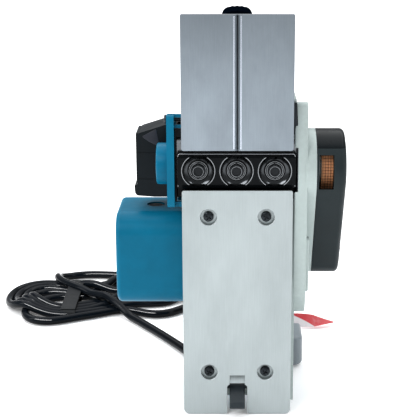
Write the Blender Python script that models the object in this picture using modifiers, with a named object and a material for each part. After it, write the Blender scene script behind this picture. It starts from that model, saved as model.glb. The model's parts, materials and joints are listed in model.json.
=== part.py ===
"""Electric hand planer, 82 mm cut, standing on its tail.

Built in metres, +Z up. Every shape below is given in millimetres in the planer's own terms:
u runs across the sole, h is the height above the sole, and l is the distance from the tail.
They become X, Y and Z, so the toe points up and the sole faces -Y. The empty "planer" moves
them so that the origin is under the middle of the tool's box, at the level of the tail.
"""
import math

import bmesh
import bpy
from mathutils import Matrix, Vector

MM = 0.001
GAP = 0.3                      # between pieces that touch or rest on each other

# Sole
SOLE_HALF_WIDTH = 38.25
SOLE_LENGTH = 286.0
SOLE_THICKNESS = 6.0
THROAT = (166.0, 194.0)        # gap between the rear base and the front base
GUIDE_HALF_WIDTH = 29.0        # pocket in the frame that guides the front base
GUIDE_L = (224.0, 277.0)
BASE_SCREWS = [(u, l) for u in (-20.0, 20.0) for l in (32.0, 147.0)]
CUT_DEPTH_MAX = 1.0            # how far the front base rises

# Cutter drum and motor: the two axes, both along u, given as (h, l)
DRUM_AXIS = (28.0, 179.0)
MOTOR_AXIS = (60.0, 106.6)
CUTTING_RADIUS = 28.0
DRUM_RADIUS = 26.2
DRUM_BORE = 29.6
DRUM_SPAN = (-41.6, 40.4)
DRUM_FLAT = 17.0               # distance of the drum's two flats from its axis
BLADE_THICKNESS = 1.1
CLAMP_HALF_WIDTH = 12.4
CLAMP_TOP = 24.4
CLAMP_BOLTS_U = (-26.9, -0.6, 25.8)
DRUM_PULLEY_RADIUS = 16.5
MOTOR_PULLEY_RADIUS = 11.0
MOTOR_HALF_WIDTH = 34.4
MOTOR_CORNER = 16.0
MOTOR_SPAN = (-87.5, 38.9)

# Frame and covers
FLOOR_TOP = 21.0
FRAME_TOP = 84.0
FRAME_LEFT = -34.0
WALL = (39.2, 48.5)
FLANGE_FACE = 54.8
COVER_FACE = 75.0
COVER_SCREW_TOP = 76.9
COVER_DRUM_CENTRE = (28.0, 177.0)
COVER_DRUM_RADIUS = 27.0
COVER_MOTOR_RADIUS = 17.2
COVER_WALL = 2.0
COVER_WINDOW = ((56.2, 66.4), (166.0, 190.0))
BEARING_PLATE = (-48.5, -43.4)
CHUTE_H = (44.3, 76.0)
CHUTE_L = (150.5, 204.0)
CHUTE_END = -72.0
CHUTE_LIP = -74.4

COVER_SCREWS = [(44.0, 142.8), (43.2, 194.6)]   # as (h, l)
PLATE_SCREW = (14.0, 213.4)
BRUSH_U = -60.0

# Handle, knob and foot
HANDLE_SCREWS = [(60.0, 27.0), (116.0, 182.0)]
HANDLE_HALF_WIDTH = 15.0
HANDLE_ROUNDING = 7.0
HANDLE_TOP = 158.0
TRIGGER_PIVOT = (137.5, 160.0)
LOCK_AXIS = (143.0, 127.0)
KNOB_L = 258.0
KNOB_H = (46.3, 90.0)
KNOB_RADIUS = 26.0
KNOB_GROOVE = 5.0
FOOT_PIVOT = (9.5, 19.5)
FOOT_DROP = 8.0                # how far the foot hangs below the sole

# Cord
CORD_DIAMETER = 7.0
GUARD_START = (0.0, 150.5, 47.0)
GUARD_END = (0.0, 189.0, 24.0)
HANK_FLOOR = 1.5               # room for the tie under the hank
HANK_ENDS = [(-154.0, 238.0, 56.0), (-84.0, 262.0, 44.0)]    # round ends as (u, h, radius)
HANK_HEIGHT = 18.0
PLUG_U = (18.0, 52.0)
PLUG_H = (86.0, 122.0)
PLUG_Z = (1.0, 25.0)
PLUG_NECK_H = 73.0
PIN_LENGTH = 19.0

ORIGIN = Vector(((COVER_SCREW_TOP + MOTOR_SPAN[0]) / 2, (HANDLE_TOP - FOOT_DROP) / 2, 0.0))

# Rotations that lay a flat outline (x, y, thickness z) into the planer
ALONG_U = Matrix(((0, 0, 1), (1, 0, 0), (0, 1, 0)))       # outline (h, l), thickness along u
ALONG_H = Matrix(((1, 0, 0), (0, 0, -1), (0, 1, 0)))      # outline (u, l), thickness along -h
ALONG_L = Matrix(((1, 0, 0), (0, 1, 0), (0, 0, 1)))       # outline (u, h), thickness along l


# ---------------------------------------------------------------- scene and materials

for old in list(bpy.data.objects):
    bpy.data.objects.remove(old, do_unlink=True)

planer_parts = bpy.data.collections.new("electric_hand_planer")
cutter_shapes = bpy.data.collections.new("cutters")
bpy.context.scene.collection.children.link(planer_parts)
bpy.context.scene.collection.children.link(cutter_shapes)
planer = bpy.data.objects.new("planer", None)
planer.location = -ORIGIN * MM
planer_parts.objects.link(planer)

FINISHES = {
    "teal_plastic": ((0.020, 0.215, 0.365), 0.42, 0.0),
    "black_plastic": ((0.012, 0.015, 0.018), 0.45, 0.0),
    "cast_aluminium": ((0.56, 0.60, 0.58), 0.48, 1.0),
    "machined_aluminium": ((0.66, 0.71, 0.74), 0.28, 1.0),
    "black_steel": ((0.025, 0.027, 0.030), 0.32, 1.0),
    "bright_steel": ((0.62, 0.63, 0.65), 0.22, 1.0),
    "copper": ((0.72, 0.33, 0.17), 0.35, 1.0),
    "belt_rubber": ((0.30, 0.11, 0.05), 0.75, 0.0),
    "cord_rubber": ((0.012, 0.014, 0.017), 0.35, 0.0),
    "pale_plastic": ((0.62, 0.66, 0.68), 0.40, 0.0),
    "carbon": ((0.02, 0.02, 0.02), 0.70, 0.0),
}


def make_material(name):
    colour, roughness, metallic = FINISHES[name]
    material = bpy.data.materials.new(name)
    material.use_nodes = True
    shader = material.node_tree.nodes["Principled BSDF"]
    shader.inputs["Base Color"].default_value = (*colour, 1.0)
    shader.inputs["Roughness"].default_value = roughness
    shader.inputs["Metallic"].default_value = metallic
    return material


MATERIALS = {name: make_material(name) for name in FINISHES}


# ---------------------------------------------------------------- building blocks

def add_object(name, bm, finish, pivot=(0, 0, 0), cutter=False):
    """Turn a bmesh in planer millimetres into an object whose origin is at pivot."""
    pivot = Vector(pivot)
    bmesh.ops.translate(bm, vec=-pivot, verts=bm.verts)
    bmesh.ops.scale(bm, vec=(MM, MM, MM), verts=bm.verts)
    bmesh.ops.recalc_face_normals(bm, faces=bm.faces)
    mesh = bpy.data.meshes.new(name)
    bm.to_mesh(mesh)
    bm.free()
    obj = bpy.data.objects.new(name, mesh)
    obj.location = pivot * MM
    obj.parent = planer
    if cutter:
        obj.hide_render = True
        obj.display_type = "WIRE"
        cutter_shapes.objects.link(obj)
    else:
        mesh.materials.append(MATERIALS[finish])
        mesh.shade_smooth()
        mesh.set_sharp_from_angle(angle=math.radians(35))
        planer_parts.objects.link(obj)
    return obj


def box(low, high):
    bm = bmesh.new()
    bmesh.ops.create_cube(bm, size=1.0)
    low, high = Vector(low), Vector(high)
    bmesh.ops.scale(bm, vec=high - low, verts=bm.verts)
    bmesh.ops.translate(bm, vec=(low + high) / 2, verts=bm.verts)
    return bm


def rod(start, end, radius, sides=24, end_radius=None):
    """A cylinder, or a cone when end_radius is given, between two points."""
    start, end = Vector(start), Vector(end)
    bm = bmesh.new()
    top = radius if end_radius is None else end_radius
    bmesh.ops.create_cone(bm, cap_ends=True, segments=sides, radius1=radius, radius2=top,
                          depth=(end - start).length)
    turn = Vector((0, 0, 1)).rotation_difference(end - start).to_matrix()
    bmesh.ops.rotate(bm, matrix=turn, verts=bm.verts)
    bmesh.ops.translate(bm, vec=(start + end) / 2, verts=bm.verts)
    return bm


def cross_rod(axis, u_start, u_end, radius, sides=24, end_radius=None):
    """A rod along u about an axis given as (h, l)."""
    return rod((u_start, *axis), (u_end, *axis), radius, sides, end_radius)


def mesh_of(obj):
    """The object's evaluated shape as a welded bmesh; the object itself is removed."""
    bpy.context.scene.collection.objects.link(obj)
    graph = bpy.context.evaluated_depsgraph_get()
    mesh = bpy.data.meshes.new_from_object(obj.evaluated_get(graph))
    bm = bmesh.new()
    bm.from_mesh(mesh)
    bmesh.ops.remove_doubles(bm, verts=bm.verts, dist=0.00001 / MM)
    bpy.data.objects.remove(obj, do_unlink=True)
    bpy.data.meshes.remove(mesh)
    return bm


def plate(points, low, high, lay=ALONG_U, rounding=0.0, rounding_steps=2):
    """A flat outline made as thick as high - low, with its rim rounded when asked."""
    curve = bpy.data.curves.new("outline", "CURVE")
    curve.dimensions = "2D"
    curve.fill_mode = "BOTH"
    curve.extrude = (high - low) / 2 - rounding
    curve.bevel_depth = rounding
    curve.bevel_resolution = rounding_steps
    curve.offset = -rounding
    spline = curve.splines.new("POLY")
    spline.points.add(len(points) - 1)
    for point, (x, y) in zip(spline.points, points):
        point.co = (x, y, 0.0, 1.0)
    spline.use_cyclic_u = True
    bm = mesh_of(bpy.data.objects.new("outline", curve))
    middle = (low + high) / 2
    if lay is ALONG_H:
        middle = -middle
    bmesh.ops.translate(bm, vec=(0, 0, middle), verts=bm.verts)
    bmesh.ops.rotate(bm, matrix=lay, verts=bm.verts)
    return bm


def turned(profile, axis, steps=32):
    """A closed (radius, u) profile turned about an axis along u, given as (h, l)."""
    mesh = bpy.data.meshes.new("profile")
    count = len(profile)
    edges = [(i, (i + 1) % count) for i in range(count)]
    mesh.from_pydata([(radius, 0.0, u) for radius, u in profile], edges, [])
    obj = bpy.data.objects.new("profile", mesh)
    screw = obj.modifiers.new("turn", "SCREW")
    screw.axis = "Z"
    screw.steps = steps
    screw.render_steps = steps
    screw.use_merge_vertices = True
    screw.merge_threshold = 0.0001
    bm = mesh_of(obj)
    bmesh.ops.rotate(bm, matrix=ALONG_U, verts=bm.verts)
    bmesh.ops.translate(bm, vec=(0, *axis), verts=bm.verts)
    return bm


def tube(route, radius, resolution=2):
    """A capped round tube along the points of a route."""
    curve = bpy.data.curves.new("route", "CURVE")
    curve.dimensions = "3D"
    curve.bevel_depth = radius
    curve.bevel_resolution = resolution
    curve.use_fill_caps = True
    spline = curve.splines.new("POLY")
    spline.points.add(len(route) - 1)
    for point, place in zip(spline.points, route):
        point.co = (*place, 1.0)
    return mesh_of(bpy.data.objects.new("route", curve))


def corners_rounded(corners, steps=4):
    """An outline through (x, y, radius) corners, with each corner as an arc."""
    points = []
    for i, (x, y, radius) in enumerate(corners):
        here = Vector((x, y))
        before = Vector(corners[i - 1][:2]) - here
        after = Vector(corners[(i + 1) % len(corners)][:2]) - here
        if radius <= 0:
            points.append((x, y))
            continue
        half = before.angle(after) / 2
        reach = radius / math.tan(half)
        inward = (before.normalized() + after.normalized()).normalized()
        centre = here + inward * (radius / math.sin(half))
        first = here + before.normalized() * reach - centre
        last = here + after.normalized() * reach - centre
        sweep = first.angle_signed(last)
        for step in range(steps + 1):
            turn = Matrix.Rotation(-sweep * step / steps, 2)
            points.append(tuple(centre + turn @ first))
    return points


def hull_of_circles(circles, steps=32):
    """The outline of a band stretched round circles given as (x, y, radius)."""
    turns = [2 * math.pi * i / steps for i in range(steps)]
    cloud = sorted((x + r * math.cos(t), y + r * math.sin(t)) for x, y, r in circles for t in turns)

    def half_hull(points):
        chain = []
        for p in points:
            while len(chain) > 1:
                (ax, ay), (bx, by) = chain[-2], chain[-1]
                if (bx - ax) * (p[1] - ay) - (by - ay) * (p[0] - ax) > 1e-9:
                    break
                chain.pop()
            chain.append(p)
        return chain[:-1]

    return half_hull(cloud) + half_hull(cloud[::-1])


def smooth_route(points, spacing):
    """Evenly spaced points on the smooth curve through a route's own points."""
    knots = [Vector(p) for p in points]
    knots = [2 * knots[0] - knots[1]] + knots + [2 * knots[-1] - knots[-2]]
    fine = []
    for a, b, c, d in zip(knots, knots[1:], knots[2:], knots[3:]):
        for step in range(24):
            t = step / 24
            fine.append(0.5 * (2 * b + (c - a) * t + (2 * a - 5 * b + 4 * c - d) * t * t
                               + (3 * b - a - 3 * c + d) * t ** 3))
    fine.append(knots[-2])
    lengths = [0.0]
    for p, q in zip(fine, fine[1:]):
        lengths.append(lengths[-1] + (q - p).length)
    count = max(2, round(lengths[-1] / spacing))
    route = []
    place = 0
    for i in range(count + 1):
        wanted = lengths[-1] * i / count
        while place < len(fine) - 2 and lengths[place + 1] < wanted:
            place += 1
        share = (wanted - lengths[place]) / (lengths[place + 1] - lengths[place])
        route.append(fine[place].lerp(fine[place + 1], min(1.0, share)))
    return route


def combine(target, bm, operation):
    tool = add_object(target.name + "_" + operation.lower(), bm, None, cutter=True)
    step = target.modifiers.new(tool.name, "BOOLEAN")
    step.object = tool
    step.operation = operation
    step.solver = "EXACT"


def cut(target, *shapes):
    for bm in shapes:
        combine(target, bm, "DIFFERENCE")


def join(target, *shapes):
    for bm in shapes:
        combine(target, bm, "UNION")


def bevel(target, width, segments=2, angle=40):
    step = target.modifiers.new("rounded_edges", "BEVEL")
    step.width = width * MM
    step.segments = segments
    step.limit_method = "ANGLE"
    step.angle_limit = math.radians(angle)
    step.harden_normals = False


# ---------------------------------------------------------------- sole

def drum_clearance():
    """The space swept by the cutters, with some air, cut under the inner edge of each base."""
    return cross_rod(DRUM_AXIS, -SOLE_HALF_WIDTH - 1, SOLE_HALF_WIDTH + 1, DRUM_BORE, 96)


def make_rear_base():
    w, notch, depth = SOLE_HALF_WIDTH, 7.25, 22.6
    outline = corners_rounded([
        (-w, THROAT[0], 1.5), (-w, 0, 4), (-notch, 0, 1.5), (-notch, depth, 2.5),
        (notch, depth, 2.5), (notch, 0, 1.5), (w, 0, 4), (w, THROAT[0], 1.5)], steps=3)
    base = add_object("rear_base", plate(outline, 0, SOLE_THICKNESS, ALONG_H), "machined_aluminium")
    for u, l in BASE_SCREWS:
        cut(base, rod((u, -1, l), (u, 3.6, l), 5.65, 20), rod((u, 3, l), (u, 7, l), 2.9, 12))
    scoop_radius = 12.0
    scoop = cross_rod((2.3 - scoop_radius, depth), -5.5, 5.5, scoop_radius, 48)
    cut(base, scoop, drum_clearance())


def make_base_screws():
    for number, (u, l) in enumerate(BASE_SCREWS, 1):
        head = rod((u, 0.7, l), (u, 3.3, l), 3.2, 16, 4.0)
        screw = add_object(f"rear_base_screw_{number}", head, "black_steel")
        join(screw, rod((u, 3.0, l), (u, 17.0, l), 2.4, 10))


def make_front_base():
    w = SOLE_HALF_WIDTH
    outline = corners_rounded([
        (-w, SOLE_LENGTH, 0.8), (-w, THROAT[1], 1.5), (w, THROAT[1], 1.5), (w, SOLE_LENGTH, 0.8)], steps=3)
    base = add_object("front_base", plate(outline, 0, SOLE_THICKNESS, ALONG_H), "machined_aluminium")
    cut(base, rod((0, 0, THROAT[1] - 1), (0, 0, SOLE_LENGTH + 1), 1.9, 4), drum_clearance())
    for side in (-1, 1):
        low, high = sorted((side * 22.5, side * (GUIDE_HALF_WIDTH - GAP)))
        join(base, box((low, SOLE_THICKNESS - 1, GUIDE_L[0] + GAP), (high, 24, GUIDE_L[1] - GAP)))


# ---------------------------------------------------------------- frame

def make_main_frame():
    profile = corners_rounded([
        (6.3, 8, 0), (FLOOR_TOP, 8, 3), (FLOOR_TOP, 147, 2), (FRAME_TOP, 149, 3), (FRAME_TOP, 200, 8),
        (58, 214, 8), (43, 222, 6), (36, 232, 6), (36, 282, 5), (7.6, 282, 2), (7.6, 180, 0),
        (6.3, 180, 0)])
    frame = add_object("main_frame", plate(profile, FRAME_LEFT, WALL[0] + 1), "cast_aluminium")
    wall = hull_of_circles([(*MOTOR_AXIS, 40), (*COVER_DRUM_CENTRE, COVER_DRUM_RADIUS - 0.5), (10.3, 222, 4),
                            (36, 213, 7), (9, 88, 2.7), (18, 75, 3)])
    join(frame, plate(wall, *WALL))
    flange = hull_of_circles([(*COVER_DRUM_CENTRE, COVER_DRUM_RADIUS), (*MOTOR_AXIS, COVER_MOTOR_RADIUS)])
    join(frame, plate(flange, WALL[1] - 1, FLANGE_FACE))
    cut(frame, cross_rod(DRUM_AXIS, FRAME_LEFT - 1, DRUM_SPAN[1] + 1.4, DRUM_BORE, 48))
    cut(frame, cross_rod(DRUM_AXIS, 40, 50.3, 13.2, 28), cross_rod(DRUM_AXIS, 50, 56, 8.0, 20))
    cut(frame, cross_rod(MOTOR_AXIS, 38, 46.3, 11.2, 24), cross_rod(MOTOR_AXIS, 46, 56, 6.5, 20))
    cut(frame, box((FRAME_LEFT - 1, 47.5, 162), (12, 73, 198)))
    cut(frame, box((-7.6, 5, 6), (7.6, 15, 29)), cross_rod(FOOT_PIVOT, -11, 11, 1.9, 12))
    for u, l in BASE_SCREWS:
        cut(frame, rod((u, 5, l), (u, 18, l), 2.8, 12))
    w = GUIDE_HALF_WIDTH
    cut(frame, box((-w, 6, GUIDE_L[0]), (w, 31, GUIDE_L[1])))
    cut(frame, box((SOLE_HALF_WIDTH - 2, 6, 228), (WALL[0] + 2, 40, SOLE_LENGTH)))
    join(frame, rod((0, 8.0, KNOB_L), (0, 32, KNOB_L), 9.4, 20))
    cut(frame, rod((0, 7, KNOB_L), (0, 30, KNOB_L), 7.2, 20))
    cut(frame, rod((0, 29, KNOB_L), (0, 37, KNOB_L), 4.4, 16))
    cut(frame, box((-28, 62, 152), (34, 80, 230)))
    for axis in COVER_SCREWS:
        cut(frame, cross_rod(axis, 50.5, 56, 2.0, 10))
    cut(frame, cross_rod(PLATE_SCREW, -36, -28, 2.0, 10))


def make_belt_cover():
    outer = hull_of_circles([(*COVER_DRUM_CENTRE, COVER_DRUM_RADIUS),
                             (*MOTOR_AXIS, COVER_MOTOR_RADIUS)], 40)
    inner = hull_of_circles([(*COVER_DRUM_CENTRE, COVER_DRUM_RADIUS - COVER_WALL),
                             (*MOTOR_AXIS, COVER_MOTOR_RADIUS - COVER_WALL)], 28)
    rounding = 3.5
    full = plate(outer, 2 * (FLANGE_FACE + GAP) - COVER_FACE, COVER_FACE, rounding=rounding)
    cover = add_object("belt_cover", full, "black_plastic")
    cut(cover, box((0, -20, 60), (FLANGE_FACE + GAP, 110, 230)))
    cut(cover, plate(inner, FLANGE_FACE - 1, COVER_FACE - COVER_WALL - 0.4))
    (u0, u1), (l0, l1) = COVER_WINDOW
    cut(cover, box((u0, -5, l0), (u1, 8, l1)))
    for axis in COVER_SCREWS:
        join(cover, cross_rod(axis, FLANGE_FACE + GAP, COVER_FACE - 1.5, 3.4, 12))
        cut(cover, cross_rod(axis, FLANGE_FACE - 1, COVER_FACE + 1, 1.9, 10))


def make_cover_screws():
    for number, axis in enumerate(COVER_SCREWS, 1):
        head = cross_rod(axis, COVER_FACE + GAP, COVER_SCREW_TOP, 3.3, 14, 2.8)
        screw = add_object(f"belt_cover_screw_{number}", head, "black_steel")
        join(screw, cross_rod(axis, 51.0, COVER_FACE + 1.0, 1.5, 8))


def make_bearing_plate():
    low, high = BEARING_PLATE
    outline = corners_rounded([
        (3.5, 152.5, 4), (43.7, 152.5, 6), (43.7, 208, 8), (24, 215.5, 10), (3.5, 218, 3)])
    side = add_object("bearing_plate", plate(outline, low, high), "teal_plastic")
    join(side, cross_rod(DRUM_AXIS, -56.8, high - 1, 14.7, 40))
    bevel(side, 0.8, 2)
    for l0, l1 in ((152.5, 156.0), (208.2, 210.4), (215.5, 217.7)):
        join(side, box((low + 1, 8.3, l0), (FRAME_LEFT - GAP, 10.8, l1)))
    cut(side, cross_rod(DRUM_AXIS, -51.6, high + 1, 11.2, 24))
    cut(side, cross_rod(PLATE_SCREW, low - 1, high + 1, 2.0, 10))


def make_plate_screw():
    head = cross_rod(PLATE_SCREW, -50.6, -48.8, 2.8, 14, 3.3)
    screw = add_object("bearing_plate_screw", head, "black_steel")
    join(screw, cross_rod(PLATE_SCREW, -49.5, -29.0, 1.5, 8))


def make_dust_shield():
    body = box((-43.1, 9, 156.5), (FRAME_LEFT - GAP, 43.7, 207.7))
    shield = add_object("dust_shield", body, "black_plastic")
    cut(shield, cross_rod(DRUM_AXIS, -42.1, FRAME_LEFT, DRUM_BORE, 40))
    cut(shield, cross_rod(DRUM_AXIS, -44, -41, 11.6, 24))


def make_chip_chute():
    (h0, h1), (l0, l1) = CHUTE_H, CHUTE_L
    inner = FRAME_LEFT - GAP
    outline = corners_rounded([
        (inner, l0, 0), (inner, l1, 0), (-50, l1, 3), (CHUTE_END, l1 - 7, 4), (CHUTE_END, l0 + 9.5, 1),
        (CHUTE_LIP, l0 + 8.5, 1), (CHUTE_LIP + 0.5, l0 + 1, 3), (-60, l0, 6)], steps=3)
    chute = add_object("chip_chute", plate(outline, h0, h1, ALONG_H), "black_plastic")
    bevel(chute, 1.6, 2, 50)
    cut(chute, box((CHUTE_LIP - 2, h0 + 3, l0 + 12), (FRAME_LEFT, h1 - 3, l1 - 8.5)))
    cut(chute, cross_rod(DRUM_AXIS, BEARING_PLATE[1] + 0.2, FRAME_LEFT + 1, DRUM_BORE, 40))


# ---------------------------------------------------------------- motor

def motor_outline(inset=0.0):
    """The square section of the motor housing, with rounded corners."""
    h, l = MOTOR_AXIS
    reach = MOTOR_HALF_WIDTH - MOTOR_CORNER
    corners = [(h + i * reach, l + j * reach, MOTOR_CORNER - inset) for i in (-1, 1) for j in (-1, 1)]
    return hull_of_circles(corners)


def make_motor_housing():
    u0, u1 = MOTOR_SPAN
    wall, edge = 2.8, 3.5
    block = plate(motor_outline(), u0, u1 + 2 * edge, rounding=edge)
    housing = add_object("motor_housing", block, "teal_plastic")
    cut(housing, box((u1, 0, 50), (u1 + 20, 120, 160)), plate(motor_outline(wall), u0 + 4, u1 + 10))
    cut(housing, cross_rod(MOTOR_AXIS, u0 + 1.6, u0 + 6, 8.2, 32))
    cut(housing, cross_rod(MOTOR_AXIS, u0 - 1, u0 + 3, 4.6, 20))
    for number in range(10):
        angle = 2 * math.pi * (number + 0.5) / 10
        reach = Vector((0, math.cos(angle), math.sin(angle)))
        centre = Vector((0, *MOTOR_AXIS))
        start = centre + reach * 14 + Vector((u0 - 1, 0, 0))
        slot = box((-3, -2.2, 0), (9, 2.2, 16))
        turn = Vector((0, 0, 1)).rotation_difference(reach).to_matrix()
        if reach.z < -0.999:
            turn = Matrix.Rotation(math.pi, 3, "X")
        bmesh.ops.rotate(slot, matrix=turn, verts=slot.verts)
        bmesh.ops.translate(slot, vec=start, verts=slot.verts)
        cut(housing, slot)
    for sign in (-1, 1):
        h, l = MOTOR_AXIS
        cut(housing, rod((BRUSH_U, h, l + sign * 28), (BRUSH_U, h, l + sign * 38), 6.6, 20))


def make_stator():
    ring = [(31.0, -44), (31.0, 2), (21.4, 2), (21.4, -44)]
    add_object("stator", turned(ring, MOTOR_AXIS, 32), "black_steel")


def bearing_ring(name, axis, u0, u1, inner, outer):
    ring = [(outer, u0), (outer, u1), (inner, u1), (inner, u0)]
    add_object(name, turned(ring, axis, 24), "bright_steel")


def make_bearings():
    bearing_ring("motor_bearing_rear", MOTOR_AXIS, MOTOR_SPAN[0] + 1.9, MOTOR_SPAN[0] + 6.5, 4.1, 8.0)
    bearing_ring("motor_bearing_drive", MOTOR_AXIS, 39.4, 46.0, 5.2, 11.0)
    bearing_ring("drum_bearing_left", DRUM_AXIS, -51.3, -43.9, 6.1, 11.0)
    bearing_ring("drum_bearing_right", DRUM_AXIS, 42.3, 50.0, 6.1, 13.0)


def make_brush_gear():
    h, l = MOTOR_AXIS
    for number, sign in enumerate((-1, 1), 1):
        flange = box((BRUSH_U - 5, h - 4, l + sign * 14 - 1), (BRUSH_U + 5, h + 4, l + sign * 14 + 1))
        holder = add_object(f"brush_holder_{number}", flange, "copper")
        near, far = sorted((sign * 11.6, sign * 27.4))
        join(holder, box((BRUSH_U - 3.5, h - 3, l + near), (BRUSH_U + 3.5, h + 3, l + far)))
        disc = rod((BRUSH_U, h, l + sign * 28.4), (BRUSH_U, h, l + sign * 33.6), 6.2, 20)
        cap = add_object(f"brush_cap_{number}", disc, "black_plastic")
        end = l + sign * 33.4
        slot = box((BRUSH_U - 4.5, h - 0.7, end - 1), (BRUSH_U + 4.5, h + 0.7, end + 1))
        cut(cap, slot)


def make_armature():
    axis = (0, *MOTOR_AXIS)
    end = MOTOR_SPAN[0] + 2.5
    shaft = [(0, end), (3.9, end), (3.9, end + 11), (4.4, end + 11), (4.4, 30), (5.0, 30), (5.0, 54),
             (4.5, 54), (4.5, 68), (0, 68)]
    add_object("armature_shaft", turned(shaft[::-1], MOTOR_AXIS, 20), "bright_steel", axis)
    core = [(21.0, -42), (21.0, 0), (4.7, 0), (4.7, -42)]
    add_object("armature_core", turned(core, MOTOR_AXIS, 24), "copper", axis)
    bars = [(11.0, -67), (11.0, -52), (4.7, -52), (4.7, -67)]
    add_object("commutator", turned(bars, MOTOR_AXIS, 24), "copper", axis)
    hub = [(29.6, 12), (29.6, 14), (10, 14), (10, 24), (4.7, 24), (4.7, 12)]
    fan = add_object("fan", turned(hub, MOTOR_AXIS, 24), "black_plastic", axis)
    for number in range(8):
        angle = 2 * math.pi * number / 8
        blade = box((13.5, -0.8, 8), (22, 0.8, 28.6))
        bmesh.ops.rotate(blade, matrix=Matrix.Rotation(angle, 3, "X"), verts=blade.verts)
        bmesh.ops.translate(blade, vec=axis, verts=blade.verts)
        join(fan, blade)


def belt_pulley(name, axis, radius, hole):
    slope, start, end = 0.9, 57.0, 68.0
    rim, bed = radius + 0.9, radius - 1.5
    profile = [(rim, start - 1.2), (rim, start), (bed, start + slope), (bed, end - slope), (rim, end),
               (rim, end + 1), (hole, end + 1), (hole, start - 1.2)]
    add_object(name, turned(profile, axis, 28), "cast_aluminium", (0, *axis))


def make_belt():
    circles = ((DRUM_AXIS, DRUM_PULLEY_RADIUS), (MOTOR_AXIS, MOTOR_PULLEY_RADIUS))
    outer = hull_of_circles([(*axis, r + 2.0) for axis, r in circles], 44)
    inner = hull_of_circles([(*axis, r - 1.1) for axis, r in circles], 44)
    belt = add_object("drive_belt", plate(outer, 58.4, 66.6), "belt_rubber")
    cut(belt, plate(inner, 57, 68))


# ---------------------------------------------------------------- cutter drum

def make_drum():
    axis = (0, *DRUM_AXIS)
    h, l = DRUM_AXIS
    u0, u1 = DRUM_SPAN
    drum = add_object("cutter_drum", cross_rod(DRUM_AXIS, u0, u1, DRUM_RADIUS, 48), "black_steel", axis)
    for sign in (-1, 1):
        low, high = sorted((h + sign * DRUM_FLAT, h + sign * 40))
        cut(drum, box((u0 - 1, low, l - 40), (u1 + 1, high, l + 40)))
        for u in CLAMP_BOLTS_U:
            cut(drum, rod((u, h + sign * 9, l), (u, h + sign * 30, l), 3.3, 10))
    join(drum, cross_rod(DRUM_AXIS, -50.5, 52.5, 6.0, 20), cross_rod(DRUM_AXIS, 52, 69.5, 5.2, 20))
    make_blades_and_clamps(axis)
    belt_pulley("drum_pulley", DRUM_AXIS, DRUM_PULLEY_RADIUS, 5.4)


def make_blades_and_clamps(axis):
    """Two sets on opposite flats; the second is the first turned half a turn."""
    h, l = DRUM_AXIS
    u0, u1 = DRUM_SPAN
    seat = DRUM_FLAT + GAP
    tip = math.sqrt(CUTTING_RADIUS ** 2 - seat ** 2)
    top_edge = seat + BLADE_THICKNESS + GAP
    for number, sign in ((1, -1), (2, 1)):
        def across(distance, along):
            return h + sign * distance, l - sign * along
        back = seat + BLADE_THICKNESS
        edge = [across(seat, -6), across(seat, tip - 0.02), across(back, tip - 1.6), across(back, -6)]
        blade = add_object(f"blade_{number}", plate(edge, u0 - 0.2, u1 + 0.2), "bright_steel", axis)
        clamp_outline = corners_rounded([(*across(top_edge, -CLAMP_HALF_WIDTH), 0.8),
                                         (*across(top_edge, CLAMP_HALF_WIDTH), 0.8),
                                         (*across(CLAMP_TOP - 1.2, CLAMP_HALF_WIDTH), 1.0),
                                         (*across(CLAMP_TOP, CLAMP_HALF_WIDTH - 3), 2.0),
                                         (*across(CLAMP_TOP, 3 - CLAMP_HALF_WIDTH), 2.0),
                                         (*across(CLAMP_TOP - 1.2, -CLAMP_HALF_WIDTH), 1.0)], steps=2)
        body = plate(clamp_outline, u0 + 0.2, u1 - 0.2)
        clamp = add_object(f"clamp_plate_{number}", body, "black_steel", axis)
        for index, u in enumerate(CLAMP_BOLTS_U, 1):
            hole = ((u, h + sign * 10, l), (u, h + sign * 30, l))
            cut(blade, rod(*hole, 3.3, 10))
            cut(clamp, rod(*hole, 3.3, 10))
            cut(clamp, rod((u, h + sign * 21.4, l), (u, h + sign * 30, l), 11.2, 28))
            make_clamp_bolt(f"clamp_bolt_{3 * (number - 1) + index}", u, sign, axis)


def make_clamp_bolt(name, u, sign, axis):
    h, l = DRUM_AXIS
    washer = rod((u, h + sign * 21.7, l), (u, h + sign * 22.9, l), 6.5, 20)
    bolt = add_object(name, washer, "black_steel", axis)
    join(bolt, rod((u, h + sign * 22.5, l), (u, h + sign * 26.2, l), 5.1, 6))
    join(bolt, rod((u, h + sign * 10, l), (u, h + sign * 22.0, l), 2.9, 8))


# ---------------------------------------------------------------- handle, knob and foot

def handle_outline():
    return corners_rounded([
        (10, 12, 0), (76, 12, 10), (87, 0, 6), (124, 0, 14), (152, 30, 28), (HANDLE_TOP, 75, 60),
        (HANDLE_TOP - 2, 150, 50), (142, 196, 22), (104, 212, 18), (74, 203, 8), (70, 153, 8),
        (104, 155, 14), (128, 150, 16), (129, 52, 18), (100, 44, 30), (60, 50, 30), (10, 54, 0)], steps=4)


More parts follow.
